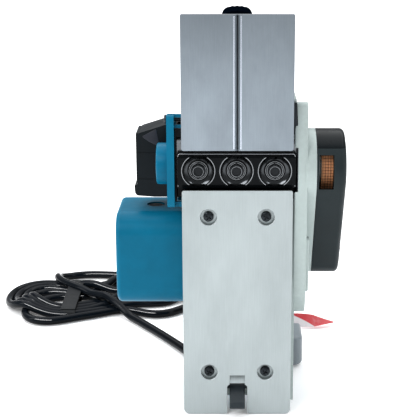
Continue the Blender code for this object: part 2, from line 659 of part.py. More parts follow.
def make_handle():
    outline = handle_outline()
    w = HANDLE_HALF_WIDTH
    for side, other in (("left", (-GAP / 2, w + 1)), ("right", (-w - 1, GAP / 2))):
        whole = plate(outline, -w, w, rounding=HANDLE_ROUNDING)
        half = add_object(f"handle_{side}", whole, "teal_plastic")
        cut(half, box((other[0], -10, -10), (other[1], 170, 230)))
        cut(half, box((-20, -5, -5), (20, FLOOR_TOP + GAP, 70)))
        cut(half, box((-20, 60, 100), (20, FRAME_TOP + GAP, 215)))
        cut(half, box((-11.5, 133.5, 42), (11.5, 151.0, 172)))
        cut(half, box((-6.6, 120, 112), (6.6, 136, 168)))
        cut(half, rod((0, 146, 50), GUARD_END, 5.2, 16))
    left = bpy.data.objects["handle_left"]
    cut(left, cross_rod(LOCK_AXIS, -20, -8, 4.9, 20))
    for axis in HANDLE_SCREWS:
        cut(left, cross_rod(axis, -20, -11, 4.0, 14), cross_rod(axis, -12, 0, 2.0, 10))
        cut(bpy.data.objects["handle_right"], cross_rod(axis, -1, 11, 1.9, 10))


def make_handle_screws():
    for number, axis in enumerate(HANDLE_SCREWS, 1):
        head = cross_rod(axis, -13.2, -11.3, 3.0, 14, 3.6)
        screw = add_object(f"handle_screw_{number}", head, "black_steel")
        join(screw, cross_rod(axis, -12, 10, 1.5, 8))


def make_trigger():
    h, l = TRIGGER_PIVOT
    outline = corners_rounded([
        (h - 5.5, l + 4, 2), (h + 2.5, l + 4, 3), (h + 2.5, l - 5, 2), (134.0, l - 16, 2), (133.2, 116, 1.5),
        (121.5, 117, 2.5), (120.2, 128, 6), (122.5, 142, 6), (129.0, 152, 4)], steps=3)
    body = plate(outline, -6.0, 6.0, rounding=1.2, rounding_steps=1)
    trigger = add_object("trigger", body, "black_plastic", (0, h, l))
    cut(trigger, cross_rod(TRIGGER_PIVOT, -8, 8, 1.6, 12))


def make_switch():
    block = add_object("switch_body", box((-9.5, 134.2, 66), (9.5, 150.4, 108)), "black_plastic")
    bevel(block, 0.8, 1)


def make_lock_button():
    profile = [(0, -18.8), (3.6, -18.8), (4.5, -18.0), (4.5, -9.0), (0, -9.0)]
    add_object("lock_button", turned(profile[::-1], LOCK_AXIS, 20), "black_plastic", (0, *LOCK_AXIS))


def knob_outline(count=60, lobes=5, groove_width=10):
    """Broad lobes, one of them pointing to the toe, with a smooth groove between each two."""
    outline = []
    for i in range(count):
        angle = 2 * math.pi * i / count
        pitch = 360 / lobes
        from_groove = (math.degrees(angle) - 90) % pitch - pitch / 2
        radius = KNOB_RADIUS - KNOB_GROOVE * math.exp(-(from_groove / groove_width) ** 2)
        outline.append((radius * math.cos(angle), KNOB_L + radius * math.sin(angle)))
    return outline


def make_knob():
    pivot = (0, 0, KNOB_L)
    body = plate(knob_outline(), *KNOB_H, ALONG_H, rounding=2.5)
    knob = add_object("front_knob", body, "black_plastic", pivot)
    cut(knob, rod((0, 40, KNOB_L), (0, 70, KNOB_L), 4.3, 16))
    stud = rod((0, 8.3, KNOB_L), (0, 68, KNOB_L), 4.0, 16)
    add_object("depth_stud", stud, "bright_steel", pivot)
    cone = rod((0, 36.3, KNOB_L), (0, 46.0, KNOB_L), 22.5, 40, 20.5)
    ring = add_object("depth_scale_ring", cone, "black_plastic")
    cut(ring, rod((0, 30, KNOB_L), (0, 50, KNOB_L), 4.5, 16))


def make_depth_spring():
    turns, per_turn, wire = 3, 12, 0.6
    start, end = 9.0, 28.0
    route = []
    for i in range(turns * per_turn + 1):
        angle = 2 * math.pi * i / per_turn
        share = i / (turns * per_turn)
        route.append((5.6 * math.cos(angle), start + (end - start) * share, KNOB_L + 5.6 * math.sin(angle)))
    add_object("depth_spring", tube(route, wire, 2), "bright_steel")


def make_foot():
    h, l = FOOT_PIVOT
    foot = add_object("foot", cross_rod(FOOT_PIVOT, -7.1, 7.1, 3.7, 20), "black_plastic", (0, h, l))
    leg = corners_rounded([
        (h + 1, l + 3, 1), (-FOOT_DROP + 1.5, 11.5, 2), (-FOOT_DROP, 7.5, 1.2), (-FOOT_DROP + 3, 5.6, 2),
        (h - 5, l - 7, 3), (h + 2.5, l - 2, 1)], steps=3)
    join(foot, plate(leg, -5.5, 5.5))
    join(foot, cross_rod(FOOT_PIVOT, -10.6, 10.6, 1.5, 12))


# ---------------------------------------------------------------- cord

LEAD_ROUTE = [
    (0.0, 189.4, 23.8), (-0.4, 197.0, 18.6), (-2.0, 205.5, 11.5), (-6.0, 214.5, 6.2), (-13.5, 222.5, 3.8),
    (-24.5, 226.5, 3.6), (-36.5, 224.0, 3.6), (-47.0, 215.5, 3.6), (-56.0, 205.5, 3.6), (-67.0, 199.5, 3.6),
    (-79.0, 200.5, 3.8), (-88.0, 205.3, 4.4),
]
TAIL_ROUTE = [
    (-112.0, 305.0, 10.0), (-130.0, 309.0, 11.5), (-148.0, 312.0, 14.0), (-164.0, 311.0, 17.5),
    (-175.0, 302.0, 21.5), (-177.0, 287.0, 24.0), (-169.5, 272.0, 24.0), (-156.0, 258.0, 24.0),
    (-139.0, 243.0, 24.0), (-121.0, 226.5, 24.0), (-105.0, 209.0, 24.2), (-93.0, 193.0, 20.0),
    (-81.0, 176.0, 9.5), (-69.0, 158.0, 4.0), (-57.0, 139.5, 3.6), (-45.0, 119.5, 3.6), (-33.0, 97.0, 3.6),
    (-23.0, 73.0, 3.6), (-13.0, 54.0, 3.6), (5.0, 44.5, 3.8), (22.5, 47.5, 7.0), (32.0, 57.0, 11.5),
    (35.0, 66.0, 12.9), (35.0, 72.6, 13.0),
]


def make_cord():
    radius = CORD_DIAMETER / 2
    add_object("cord_guard", rod(GUARD_START, GUARD_END, 5.0, 16, 4.2), "cord_rubber")
    add_object("cord_lead", tube(smooth_route(LEAD_ROUTE, 8.0), radius, 2), "cord_rubber")
    add_object("cord_tail", tube(smooth_route(TAIL_ROUTE, 12.0), radius, 2), "cord_rubber")
    outline = hull_of_circles(HANK_ENDS, 32)
    add_object("cord_hank", plate(outline, HANK_FLOOR, HANK_FLOOR + HANK_HEIGHT, ALONG_L), "cord_rubber")


def make_plug():
    """A flat mains plug with its pins pointing away from the sole, lying beside the handle's heel."""
    (u0, u1), (h0, h1), (z0, z1) = PLUG_U, PLUG_H, PLUG_Z
    u, z = (u0 + u1) / 2, (z0 + z1) / 2
    plug = add_object("plug", box((u0, h0, z0), (u1, h1, z1)), "pale_plastic")
    bevel(plug, 3.0, 2)
    join(plug, rod((u, PLUG_NECK_H, z), (u, h0 + 2, z), 5.0, 16, 8.5))
    for side in (-9.5, 9.5):
        join(plug, rod((u + side, h1 - 1, z), (u + side, h1 + PIN_LENGTH, z), 2.4, 12))


make_rear_base()
make_base_screws()
make_front_base()
make_main_frame()
make_belt_cover()
make_cover_screws()
make_bearing_plate()
make_plate_screw()
make_dust_shield()
make_chip_chute()
make_motor_housing()
make_stator()
make_bearings()
make_brush_gear()
make_armature()
belt_pulley("motor_pulley", MOTOR_AXIS, MOTOR_PULLEY_RADIUS, 4.7)
make_belt()
make_drum()
make_handle()
make_handle_screws()
make_trigger()
make_switch()
make_lock_button()
make_knob()
make_depth_spring()
make_foot()
make_cord()
make_plug()
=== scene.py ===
"""Electric hand planer standing on its tail: the looks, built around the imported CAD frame.

Shapes are given in millimetres in the planer's own terms: u across the sole, h above the sole,
and l from the tail. In the frame they become X, Y and Z, moved by ORIGIN.
"""
import json
import math

import bmesh
import bpy
import numpy as np
from mathutils import Matrix, Vector


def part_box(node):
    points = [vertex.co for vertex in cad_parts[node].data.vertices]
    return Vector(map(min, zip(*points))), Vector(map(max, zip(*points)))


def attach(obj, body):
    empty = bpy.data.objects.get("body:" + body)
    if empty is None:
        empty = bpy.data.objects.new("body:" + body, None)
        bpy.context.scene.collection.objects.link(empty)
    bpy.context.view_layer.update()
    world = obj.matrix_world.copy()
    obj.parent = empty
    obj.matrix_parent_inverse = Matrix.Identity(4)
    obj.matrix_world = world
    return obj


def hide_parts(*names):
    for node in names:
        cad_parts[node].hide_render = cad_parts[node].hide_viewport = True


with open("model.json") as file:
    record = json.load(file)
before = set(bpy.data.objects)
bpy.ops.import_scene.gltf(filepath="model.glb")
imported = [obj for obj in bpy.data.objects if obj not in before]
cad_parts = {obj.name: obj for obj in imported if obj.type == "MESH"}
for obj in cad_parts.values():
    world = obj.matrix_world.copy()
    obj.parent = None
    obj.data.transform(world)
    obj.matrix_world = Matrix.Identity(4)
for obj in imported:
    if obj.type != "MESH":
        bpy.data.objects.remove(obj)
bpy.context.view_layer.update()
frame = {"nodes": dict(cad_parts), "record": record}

MM = 0.001
SOLE_LOW, SOLE_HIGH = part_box("rear_base")
ORIGIN = Vector(((SOLE_LOW.x + SOLE_HIGH.x) / 2, SOLE_LOW.y, 0.0)) / MM

# Axes along u, given as (h, l)
DRUM_AXIS = (28.0, 179.0)
MOTOR_AXIS = (60.0, 106.6)
COVER_CENTRE = (28.0, 177.0)
GAP = 0.3
SOLE_HALF = 38.25
THICK = 6.0
THROAT = (166.0, 194.0)
TOE_L = 286.0
KNOB_L = 258.0

# Rotations that lay a flat outline (x, y, thickness z) into the planer
ALONG_U = Matrix(((0, 0, 1), (1, 0, 0), (0, 1, 0)))       # outline (h, l), thickness along u
ALONG_H = Matrix(((1, 0, 0), (0, 0, -1), (0, 1, 0)))      # outline (u, l), thickness along -h
ALONG_L = Matrix(((1, 0, 0), (0, 1, 0), (0, 0, 1)))       # outline (u, h), thickness along l


# ---------------------------------------------------------------- building blocks

def box(low, high):
    bm = bmesh.new()
    bmesh.ops.create_cube(bm, size=1.0)
    low, high = Vector(low), Vector(high)
    bmesh.ops.scale(bm, vec=high - low, verts=bm.verts)
    bmesh.ops.translate(bm, vec=(low + high) / 2, verts=bm.verts)
    return bm


def rod(start, end, radius, sides=40, end_radius=None):
    start, end = Vector(start), Vector(end)
    bm = bmesh.new()
    top = radius if end_radius is None else end_radius
    bmesh.ops.create_cone(bm, cap_ends=True, segments=sides, radius1=radius, radius2=top,
                          depth=(end - start).length)
    turn = Vector((0, 0, 1)).rotation_difference(end - start).to_matrix()
    bmesh.ops.rotate(bm, matrix=turn, verts=bm.verts)
    bmesh.ops.translate(bm, vec=(start + end) / 2, verts=bm.verts)
    return bm


def cross_rod(axis, u_start, u_end, radius, sides=40, end_radius=None):
    return rod((u_start, *axis), (u_end, *axis), radius, sides, end_radius)


def mesh_of(obj):
    """The object's evaluated shape as a welded bmesh; the object itself is removed."""
    bpy.context.scene.collection.objects.link(obj)
    graph = bpy.context.evaluated_depsgraph_get()
    mesh = bpy.data.meshes.new_from_object(obj.evaluated_get(graph))
    bm = bmesh.new()
    bm.from_mesh(mesh)
    bmesh.ops.remove_doubles(bm, verts=bm.verts, dist=0.002)
    bpy.data.objects.remove(obj, do_unlink=True)
    bpy.data.meshes.remove(mesh)
    return bm


def plate(points, low, high, lay=ALONG_U, rounding=0.0, rounding_steps=5):
    """A flat outline made as thick as high - low, with its rim rounded when asked."""
    curve = bpy.data.curves.new("outline", "CURVE")
    curve.dimensions = "2D"
    curve.fill_mode = "BOTH"
    curve.extrude = (high - low) / 2 - rounding
    curve.bevel_depth = rounding
    curve.bevel_resolution = rounding_steps
    curve.offset = -rounding
    spline = curve.splines.new("POLY")
    spline.points.add(len(points) - 1)
    for point, (x, y) in zip(spline.points, points):
        point.co = (x, y, 0.0, 1.0)
    spline.use_cyclic_u = True
    bm = mesh_of(bpy.data.objects.new("outline", curve))
    middle = (low + high) / 2
    if lay is ALONG_H:
        middle = -middle
    bmesh.ops.translate(bm, vec=(0, 0, middle), verts=bm.verts)
    bmesh.ops.rotate(bm, matrix=lay, verts=bm.verts)
    return bm


def turned(profile, origin, way=(1, 0, 0), steps=96):
    """A closed (radius, distance) profile turned about the line from origin along way."""
    profile = profile[::-1]
    bm = bmesh.new()
    rings = []
    for i in range(steps):
        angle = 2 * math.pi * i / steps
        rings.append([bm.verts.new((r * math.cos(angle), r * math.sin(angle), d)) for r, d in profile])
    for one, two in zip(rings, rings[1:] + rings[:1]):
        for k in range(len(profile)):
            n = (k + 1) % len(profile)
            bm.faces.new((one[k], one[n], two[n], two[k]))
    bmesh.ops.remove_doubles(bm, verts=bm.verts, dist=0.0005)
    turn = Vector((0, 0, 1)).rotation_difference(Vector(way)).to_matrix()
    bmesh.ops.rotate(bm, matrix=turn, verts=bm.verts)
    bmesh.ops.translate(bm, vec=origin, verts=bm.verts)
    return bm


def tube(name, points, radius, resolution):
    """A capped round curve through points."""
    curve = bpy.data.curves.new(name, "CURVE")
    curve.dimensions = "3D"
    curve.bevel_depth = radius
    curve.bevel_resolution = resolution
    curve.use_fill_caps = True
    spline = curve.splines.new("POLY")
    spline.points.add(len(points) - 1)
    for point, place in zip(spline.points, points):
        point.co = (*place, 1.0)
    return bpy.data.objects.new(name, curve)


def corners_rounded(corners, steps=8):
    """An outline through (x, y, radius) corners, with each corner as an arc."""
    points = []
    for i, (x, y, radius) in enumerate(corners):
        here = Vector((x, y))
        before = Vector(corners[i - 1][:2]) - here
        after = Vector(corners[(i + 1) % len(corners)][:2]) - here
        if radius <= 0:
            points.append((x, y))
            continue
        half = before.angle(after) / 2
        reach = radius / math.tan(half)
        inward = (before.normalized() + after.normalized()).normalized()
        centre = here + inward * (radius / math.sin(half))
        first = here + before.normalized() * reach - centre
        last = here + after.normalized() * reach - centre
        sweep = first.angle_signed(last)
        for step in range(steps + 1):
            turn = Matrix.Rotation(-sweep * step / steps, 2)
            points.append(tuple(centre + turn @ first))
    return points


def hull_of_circles(circles, steps=72):
    """The outline of a band stretched round circles given as (x, y, radius)."""
    turns = [2 * math.pi * i / steps for i in range(steps)]
    cloud = sorted((x + r * math.cos(t), y + r * math.sin(t)) for x, y, r in circles for t in turns)

    def half_hull(points):
        chain = []
        for p in points:
            while len(chain) > 1:
                (ax, ay), (bx, by) = chain[-2], chain[-1]
                if (bx - ax) * (p[1] - ay) - (by - ay) * (p[0] - ax) > 1e-9:
                    break
                chain.pop()
            chain.append(p)
        return chain[:-1]

    return half_hull(cloud) + half_hull(cloud[::-1])


def temporary(bm):
    bmesh.ops.recalc_face_normals(bm, faces=bm.faces)
    mesh = bpy.data.meshes.new("temporary")
    bm.to_mesh(mesh)
    bm.free()
    obj = bpy.data.objects.new("temporary", mesh)
    bpy.context.scene.collection.objects.link(obj)
    return obj


def carve(bm, cuts=(), joins=()):
    """bm with the joins added and then the cuts taken out, by exact Booleans."""
    base = temporary(bm)
    tools = []
    for shapes, operation in ((joins, "UNION"), (cuts, "DIFFERENCE")):
        for shape in shapes:
            tool = temporary(shape)
            step = base.modifiers.new("step", "BOOLEAN")
            step.object = tool
            step.operation = operation
            step.solver = "EXACT"
            tools.append(tool)
    graph = bpy.context.evaluated_depsgraph_get()
    mesh = bpy.data.meshes.new_from_object(base.evaluated_get(graph))
    out = bmesh.new()
    out.from_mesh(mesh)
    bmesh.ops.remove_doubles(out, verts=out.verts, dist=0.003)
    for obj in [base] + tools:
        data = obj.data
        bpy.data.objects.remove(obj, do_unlink=True)
        bpy.data.meshes.remove(data)
    bpy.data.meshes.remove(mesh)
    return out


def piece(name, bm, material, body="frame", nodes=(), slot=None, soften=0.0, segments=3, smooth=38):
    """Turn a bmesh in planer millimetres into a piece that rides on a body and stands for CAD nodes.

    A slot is worked out from its material, unless another is given, but nothing keeps it.
    """
    bmesh.ops.scale(bm, vec=(MM, MM, MM), verts=bm.verts)
    bmesh.ops.recalc_face_normals(bm, faces=bm.faces)
    mesh = bpy.data.meshes.new(name)
    bm.to_mesh(mesh)
    bm.free()
    obj = bpy.data.objects.new(name, mesh)
    obj.location = ORIGIN * MM
    bpy.context.scene.collection.objects.link(obj)
    mesh.materials.append(material)
    mesh.shade_smooth()
    mesh.set_sharp_from_angle(angle=math.radians(smooth))
    if soften:
        step = obj.modifiers.new("softened_edges", "BEVEL")
        step.width = soften * MM
        step.segments = segments
        step.limit_method = "ANGLE"
        step.angle_limit = math.radians(34)
        step.miter_outer = "MITER_ARC"
        step.use_clamp_overlap = True
        step.harden_normals = True
    bpy.context.view_layer.update()
    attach(obj, body)
    if nodes:
        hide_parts(*nodes)
    slot = slot or SLOT_OF.get(material.name)
    return obj


# ---------------------------------------------------------------- materials

class Nodes:
    """A small builder for one procedural material."""

    def __init__(self, name):
        self.material = bpy.data.materials.new(name)
        self.material.use_nodes = True
        self.tree = self.material.node_tree
        self.shader = self.tree.nodes["Principled BSDF"]
        self.where = self.add("ShaderNodeTexCoord").outputs["Object"]

    def add(self, kind, **settings):
        node = self.tree.nodes.new(kind)
        for key, value in settings.items():
            setattr(node, key, value)
        return node

    def link(self, source, target):
        self.tree.links.new(source, target)

    def noise(self, scale, detail=4.0, roughness=0.55, stretch=(1, 1, 1), turn=(0, 0, 0)):
        mapping = self.add("ShaderNodeMapping")
        mapping.inputs["Scale"].default_value = stretch
        mapping.inputs["Rotation"].default_value = turn
        self.link(self.where, mapping.inputs["Vector"])
        node = self.add("ShaderNodeTexNoise")
        node.inputs["Scale"].default_value = scale
        node.inputs["Detail"].default_value = detail
        node.inputs["Roughness"].default_value = roughness
        self.link(mapping.outputs["Vector"], node.inputs["Vector"])
        return node.outputs["Fac"]

    def ramp(self, source, *stops):
        node = self.add("ShaderNodeValToRGB")
        while len(node.color_ramp.elements) < len(stops):
            node.color_ramp.elements.new(0.5)
        for element, (place, colour) in zip(node.color_ramp.elements, stops):
            element.position = place
            element.color = (*colour, 1.0)
        self.link(source, node.inputs["Fac"])
        return node.outputs["Color"]

    def spread(self, source, low, high, from_low=0.3, from_high=0.7):
        node = self.add("ShaderNodeMapRange")
        node.inputs["From Min"].default_value = from_low
        node.inputs["From Max"].default_value = from_high
        node.inputs["To Min"].default_value = low
        node.inputs["To Max"].default_value = high
        self.link(source, node.inputs["Value"])
        return node.outputs["Result"]

    def mix(self, factor, one, two, blend="MIX"):
        node = self.add("ShaderNodeMix", data_type="RGBA", blend_type=blend)
        if isinstance(factor, float):
            node.inputs["Factor"].default_value = factor
        else:
            self.link(factor, node.inputs["Factor"])
        for value, name in ((one, "A"), (two, "B")):
            socket = [s for s in node.inputs if s.name == name and s.type == "RGBA"][0]
            if isinstance(value, tuple):
                socket.default_value = (*value, 1.0)
            else:
                self.link(value, socket)
        return [s for s in node.outputs if s.type == "RGBA"][0]

    def bump(self, *layers):
        """layers are (height, strength, distance in millimetres)."""
        normal = None
        for height, strength, distance in layers:
            node = self.add("ShaderNodeBump")
            node.inputs["Strength"].default_value = strength
            node.inputs["Distance"].default_value = distance * MM
            self.link(height, node.inputs["Height"])
            if normal:
                self.link(normal, node.inputs["Normal"])
            normal = node.outputs["Normal"]
        self.link(normal, self.shader.inputs["Normal"])

    def set(self, **sockets):
        for key, value in sockets.items():
            self.shader.inputs[key.replace("_", " ")].default_value = value


def shade(colour, amount):
    return tuple(min(1.0, c * amount) for c in colour)


def moulded(name, colour, rough=(0.36, 0.5), grain=1500.0, depth=0.03, specular=0.35, wear=1.25):
    """Moulded plastic: fine grain, soft cloudy colour, faint rub marks."""
    n = Nodes(name)
    cloud = n.noise(22.0, 5.0, 0.6)
    base = n.ramp(cloud, (0.3, shade(colour, 0.86)), (0.7, shade(colour, 1.12)))
    marks = n.noise(60.0, 8.0, 0.75, stretch=(1.0, 1.0, 7.0), turn=(0.2, 0.5, 0.1))
    rubbed = n.spread(marks, 0.0, 1.0, 0.66, 0.78)
    n.link(n.mix(rubbed, base, shade(colour, wear)), n.shader.inputs["Base Color"])
    n.link(n.spread(n.noise(90.0, 6.0, 0.6), *rough), n.shader.inputs["Roughness"])
    n.bump((n.noise(grain, 3.0, 0.5), 0.5, depth), (n.noise(35.0, 2.0), 0.15, 0.15))
    n.set(Specular_IOR_Level=specular)
    return n.material


def metal(name, colour, rough=(0.3, 0.42), grain=700.0, depth=0.02, metallic=1.0, stretch=(1, 1, 1),
          turn=(0, 0, 0), contrast=(0.9, 1.08), stain=0.92, specular=0.5, cloud_scale=16.0):
    """Cast, ground or machined metal, with its grain drawn out along one direction when stretched."""
    n = Nodes(name)
    cloud = n.noise(cloud_scale, 6.0, 0.62)
    base = n.ramp(cloud, (0.32, shade(colour, contrast[0])), (0.68, shade(colour, contrast[1])))
    lines = n.noise(grain, 5.0, 0.6, stretch=stretch, turn=turn)
    lined = n.mix(n.spread(lines, 0.0, 0.55, 0.38, 0.66), base, shade(colour, contrast[1] * 1.05))
    spots = n.spread(n.noise(130.0, 7.0, 0.7), 0.0, 0.5, 0.62, 0.8)
    n.link(n.mix(spots, lined, shade(colour, stain)), n.shader.inputs["Base Color"])
    n.link(n.spread(n.noise(grain * 0.5, 5.0, 0.6, stretch=stretch, turn=turn), *rough),
           n.shader.inputs["Roughness"])
    n.bump((lines, 0.35, depth))
    n.set(Metallic=metallic, Specular_IOR_Level=specular)
    return n.material


def machined(name, colour, rough, contrast, toe_throat_shading):
    """Milled sole: hair-fine slanted lines over soft clouds; toe_throat_shading is painted shade that sets
    how light its toe and throat are.
    """
    n = Nodes(name)
    split = n.add("ShaderNodeSeparateXYZ")
    n.link(n.where, split.inputs["Vector"])
    lines = n.noise(1500.0, 2.0, 0.5, stretch=(1.0, 0.02, 0.03), turn=(0, 0.75, 0))
    cross = n.noise(1300.0, 2.0, 0.5, stretch=(1.0, 0.02, 0.04), turn=(0, -0.35, 0))
    cloud = n.noise(9.0, 7.0, 0.62, stretch=(1.0, 1.0, 0.7), turn=(0, 0.6, 0))
    drift = n.noise(34.0, 6.0, 0.66, stretch=(1.0, 1.0, 0.5), turn=(0, 0.8, 0))
    base = n.ramp(cloud, (0.34, shade(colour, contrast[0])), (0.66, shade(colour, contrast[1])))
    base = n.mix(n.spread(drift, 0.0, 0.5, 0.46, 0.72), base, shade(colour, contrast[0] * 0.94))
    base = n.mix(n.spread(lines, 0.0, 0.16, 0.4, 0.68), base, shade(colour, 0.72))
    base = n.mix(n.spread(cross, 0.0, 0.14, 0.5, 0.75), base, shade(colour, 1.25))
    # Painted light and shade: the colour is multiplied up at the throat and down towards the toe
    throat_to_toe_shade = n.spread(split.outputs["Z"], toe_throat_shading[1], toe_throat_shading[0], THROAT[1] * MM, TOE_L * MM)
    base = n.mix(1.0, base, n.ramp(throat_to_toe_shade, (0.0, (0.0, 0.0, 0.0)), (1.0, (1.0, 1.0, 1.0))), "MULTIPLY")
    n.link(base, n.shader.inputs["Base Color"])
    n.link(n.spread(drift, rough[0], rough[1], 0.35, 0.65), n.shader.inputs["Roughness"])
    n.bump((lines, 0.18, 0.008), (cross, 0.1, 0.006))
    n.set(Metallic=0.72, Anisotropic=0.3)
    return n.material


TEAL = moulded("teal_plastic", (0.0025, 0.140, 0.235), rough=(0.3, 0.42), depth=0.03, specular=0.12)
BLACK = moulded("black_plastic", (0.0085, 0.0125, 0.0155), rough=(0.34, 0.5), depth=0.035, specular=0.14,
                wear=2.0)
COVER = moulded("cover_plastic", (0.020, 0.028, 0.031), rough=(0.36, 0.5), depth=0.03, specular=0.16,
                wear=1.5)
COVER_DARK = moulded("cover_plastic_dark", (0.005, 0.008, 0.010), rough=(0.24, 0.34), depth=0.02,
                     specular=0.14, wear=2.0)
SHEATH = moulded("cord_sheath", (0.0009, 0.0014, 0.0021), rough=(0.13, 0.18), grain=900.0, depth=0.006,
                 specular=0.1, wear=1.4)
PLUG = moulded("plug_plastic", (0.21, 0.24, 0.26), rough=(0.3, 0.42), depth=0.02, specular=0.4)
CAST = metal("cast_aluminium", (0.375, 0.43, 0.422), rough=(0.42, 0.55), grain=420.0, depth=0.05,
             metallic=0.3, contrast=(0.93, 1.05), stain=0.86)
# The front sole's last pair is painted shade: lighter at the throat, darker at the toe
SOLE_FRONT = machined("sole_front", (0.285, 0.325, 0.362), (0.3, 0.46), (0.84, 1.12), (0.80, 1.16))
SOLE_REAR = machined("sole_rear", (0.385, 0.425, 0.432), (0.34, 0.48), (0.96, 1.04), (1.0, 1.0))
BRIGHT = metal("bright_steel", (0.62, 0.64, 0.67), rough=(0.16, 0.28), grain=500.0, stretch=(0.06, 1, 1),
               depth=0.01)
OXIDE = metal("black_steel", (0.030, 0.034, 0.038), rough=(0.24, 0.38), grain=600.0, depth=0.02,
              contrast=(0.8, 1.3), stain=2.2)
BOLT = metal("bolt_steel", (0.017, 0.019, 0.021), rough=(0.2, 0.3), grain=600.0, depth=0.02, metallic=0.6,
             contrast=(0.8, 1.3), stain=2.0, specular=0.2)
ANODISED = metal("black_anodised", (0.0035, 0.0045, 0.0055), rough=(0.2, 0.3), grain=500.0,
                 stretch=(0.05, 1, 1), depth=0.012, metallic=0.2, contrast=(0.8, 1.3), stain=2.5,
                 specular=0.12)
# Thin bright rings on the bolts' and wells' edges: painted highlights
RING_HIGHLIGHT = metal("ring_painted_highlight", (0.22, 0.23, 0.24), rough=(0.18, 0.28), grain=600.0, depth=0.02,
                   contrast=(0.8, 1.3), stain=2.0)
DISH = metal("dished_oxide", (0.062, 0.066, 0.07), rough=(0.12, 0.2), grain=500.0, depth=0.008,
             contrast=(0.8, 1.3), stain=2.0)
# Bright metal for the thin line round the blade clamps: a painted highlight
EDGE = metal("clamp_outline_painted_highlight", (0.26, 0.27, 0.285), rough=(0.2, 0.32), grain=500.0, stretch=(0.05, 1, 1),
             depth=0.01)
COPPER = metal("copper", (0.68, 0.31, 0.16), rough=(0.26, 0.4), grain=350.0, stretch=(0.1, 1, 1), depth=0.03)
BLADE_STEEL = metal("blade_steel", (0.16, 0.17, 0.18), rough=(0.2, 0.32), grain=500.0, stretch=(0.05, 1, 1),
                    depth=0.01)
KNOB = moulded("knob_plastic", (0.0012, 0.0026, 0.006), rough=(0.3, 0.42), depth=0.02, specular=0.0,
               wear=1.5)
# Lighter black plastic for the chute's facet: painted sheen
FACET_SHEEN = moulded("facet_painted_sheen", (0.024, 0.027, 0.038), rough=(0.34, 0.46), depth=0.02, specular=0.35,
                wear=1.3)
FOOT = moulded("foot_plastic", (0.028, 0.036, 0.042), rough=(0.34, 0.46), depth=0.03, specular=0.3, wear=1.4)
TIE = moulded("tie_strap", (0.008, 0.010, 0.012), rough=(0.5, 0.65), grain=2200.0, depth=0.08, specular=0.3,
              wear=1.8)
# Bright metal for the groove's edges: a painted highlight
GROOVE_HIGHLIGHT = metal("groove_edge_painted_highlight", (0.50, 0.54, 0.60), rough=(0.18, 0.26), grain=500.0, stretch=(1, 1, 0.05),
            depth=0.01)


def striped_tag(phase=1.0):
    """Satin strip with slanted red and white stripes."""
    n = Nodes("tag_stripes")
    mapping = n.add("ShaderNodeMapping")
    mapping.inputs["Rotation"].default_value = (0, math.radians(-24), 0)
    n.link(n.where, mapping.inputs["Vector"])
    wave = n.add("ShaderNodeTexWave", wave_type="BANDS", bands_direction="Z")
    wave.inputs["Scale"].default_value = 17.0
    wave.inputs["Distortion"].default_value = 0.4
    wave.inputs["Phase Offset"].default_value = phase
    n.link(mapping.outputs["Vector"], wave.inputs["Vector"])
    base = n.ramp(wave.outputs["Fac"], (0.46, (0.47, 0.03, 0.04)), (0.54, (0.60, 0.57, 0.58)))
    creases = n.noise(160.0, 4.0, 0.6)
    n.link(n.mix(n.spread(creases, 0.0, 0.35, 0.5, 0.75), base, (0.42, 0.30, 0.31)),
           n.shader.inputs["Base Color"])
    n.link(n.spread(creases, 0.32, 0.5), n.shader.inputs["Roughness"])
    n.bump((creases, 0.3, 0.2))
    return n.material


TAG = striped_tag()


def woven_belt():
    """Orange-brown fabric face with a fine square weave."""
    n = Nodes("belt_fabric")
    wave_u = n.add("ShaderNodeTexWave", wave_type="BANDS", bands_direction="X")
    wave_l = n.add("ShaderNodeTexWave", wave_type="BANDS", bands_direction="Z")
    for wave, scale in ((wave_u, 170.0), (wave_l, 150.0)):
        wave.inputs["Scale"].default_value = scale
        wave.inputs["Distortion"].default_value = 0.6
        wave.inputs["Detail"].default_value = 2.0
        n.link(n.where, wave.inputs["Vector"])
    weave = n.mix(0.5, wave_u.outputs["Color"], wave_l.outputs["Color"])
    fleck = n.noise(240.0, 5.0, 0.7)
    base = n.ramp(weave, (0.25, (0.17, 0.068, 0.028)), (0.8, (0.62, 0.29, 0.135)))
    base = n.mix(n.spread(fleck, 0.0, 0.5, 0.45, 0.7), base, (0.60, 0.32, 0.17))
    n.link(base, n.shader.inputs["Base Color"])
    n.link(n.spread(fleck, 0.6, 0.8), n.shader.inputs["Roughness"])
    n.bump((weave, 0.6, 0.15), (fleck, 0.3, 0.05))
    return n.material


BELT = woven_belt()

# The materials of each slot in the record; CAD nodes that stay visible get the first
SLOTS = {
    "machined_aluminium": (SOLE_REAR, SOLE_FRONT, GROOVE_HIGHLIGHT), "cast_aluminium": (CAST,), "teal_plastic": (TEAL,),
    "black_plastic": (BLACK, COVER, COVER_DARK, KNOB, FACET_SHEEN, FOOT), "black_drum": (ANODISED, EDGE, DISH),
    "black_steel": (OXIDE, BOLT, RING_HIGHLIGHT), "bright_steel": (BRIGHT, BLADE_STEEL),
    "winding_copper": (COPPER,), "belt_rubber": (BELT,), "cord_rubber": (SHEATH, TIE),
    "plug_plastic": (PLUG,),
}
SLOT_OF = {material.name: slot for slot, looks in SLOTS.items() for material in looks}


# ---------------------------------------------------------------- cord

CORD_RADIUS = 3.5
GUARD_START = Vector((0.0, 150.5, 47.0))
GUARD_END = Vector((0.0, 189.0, 24.0))
TIE_U = -149.0
TIE_WIDTH = 13.0
TAIL_POINTS = 112        # settled points after the hank

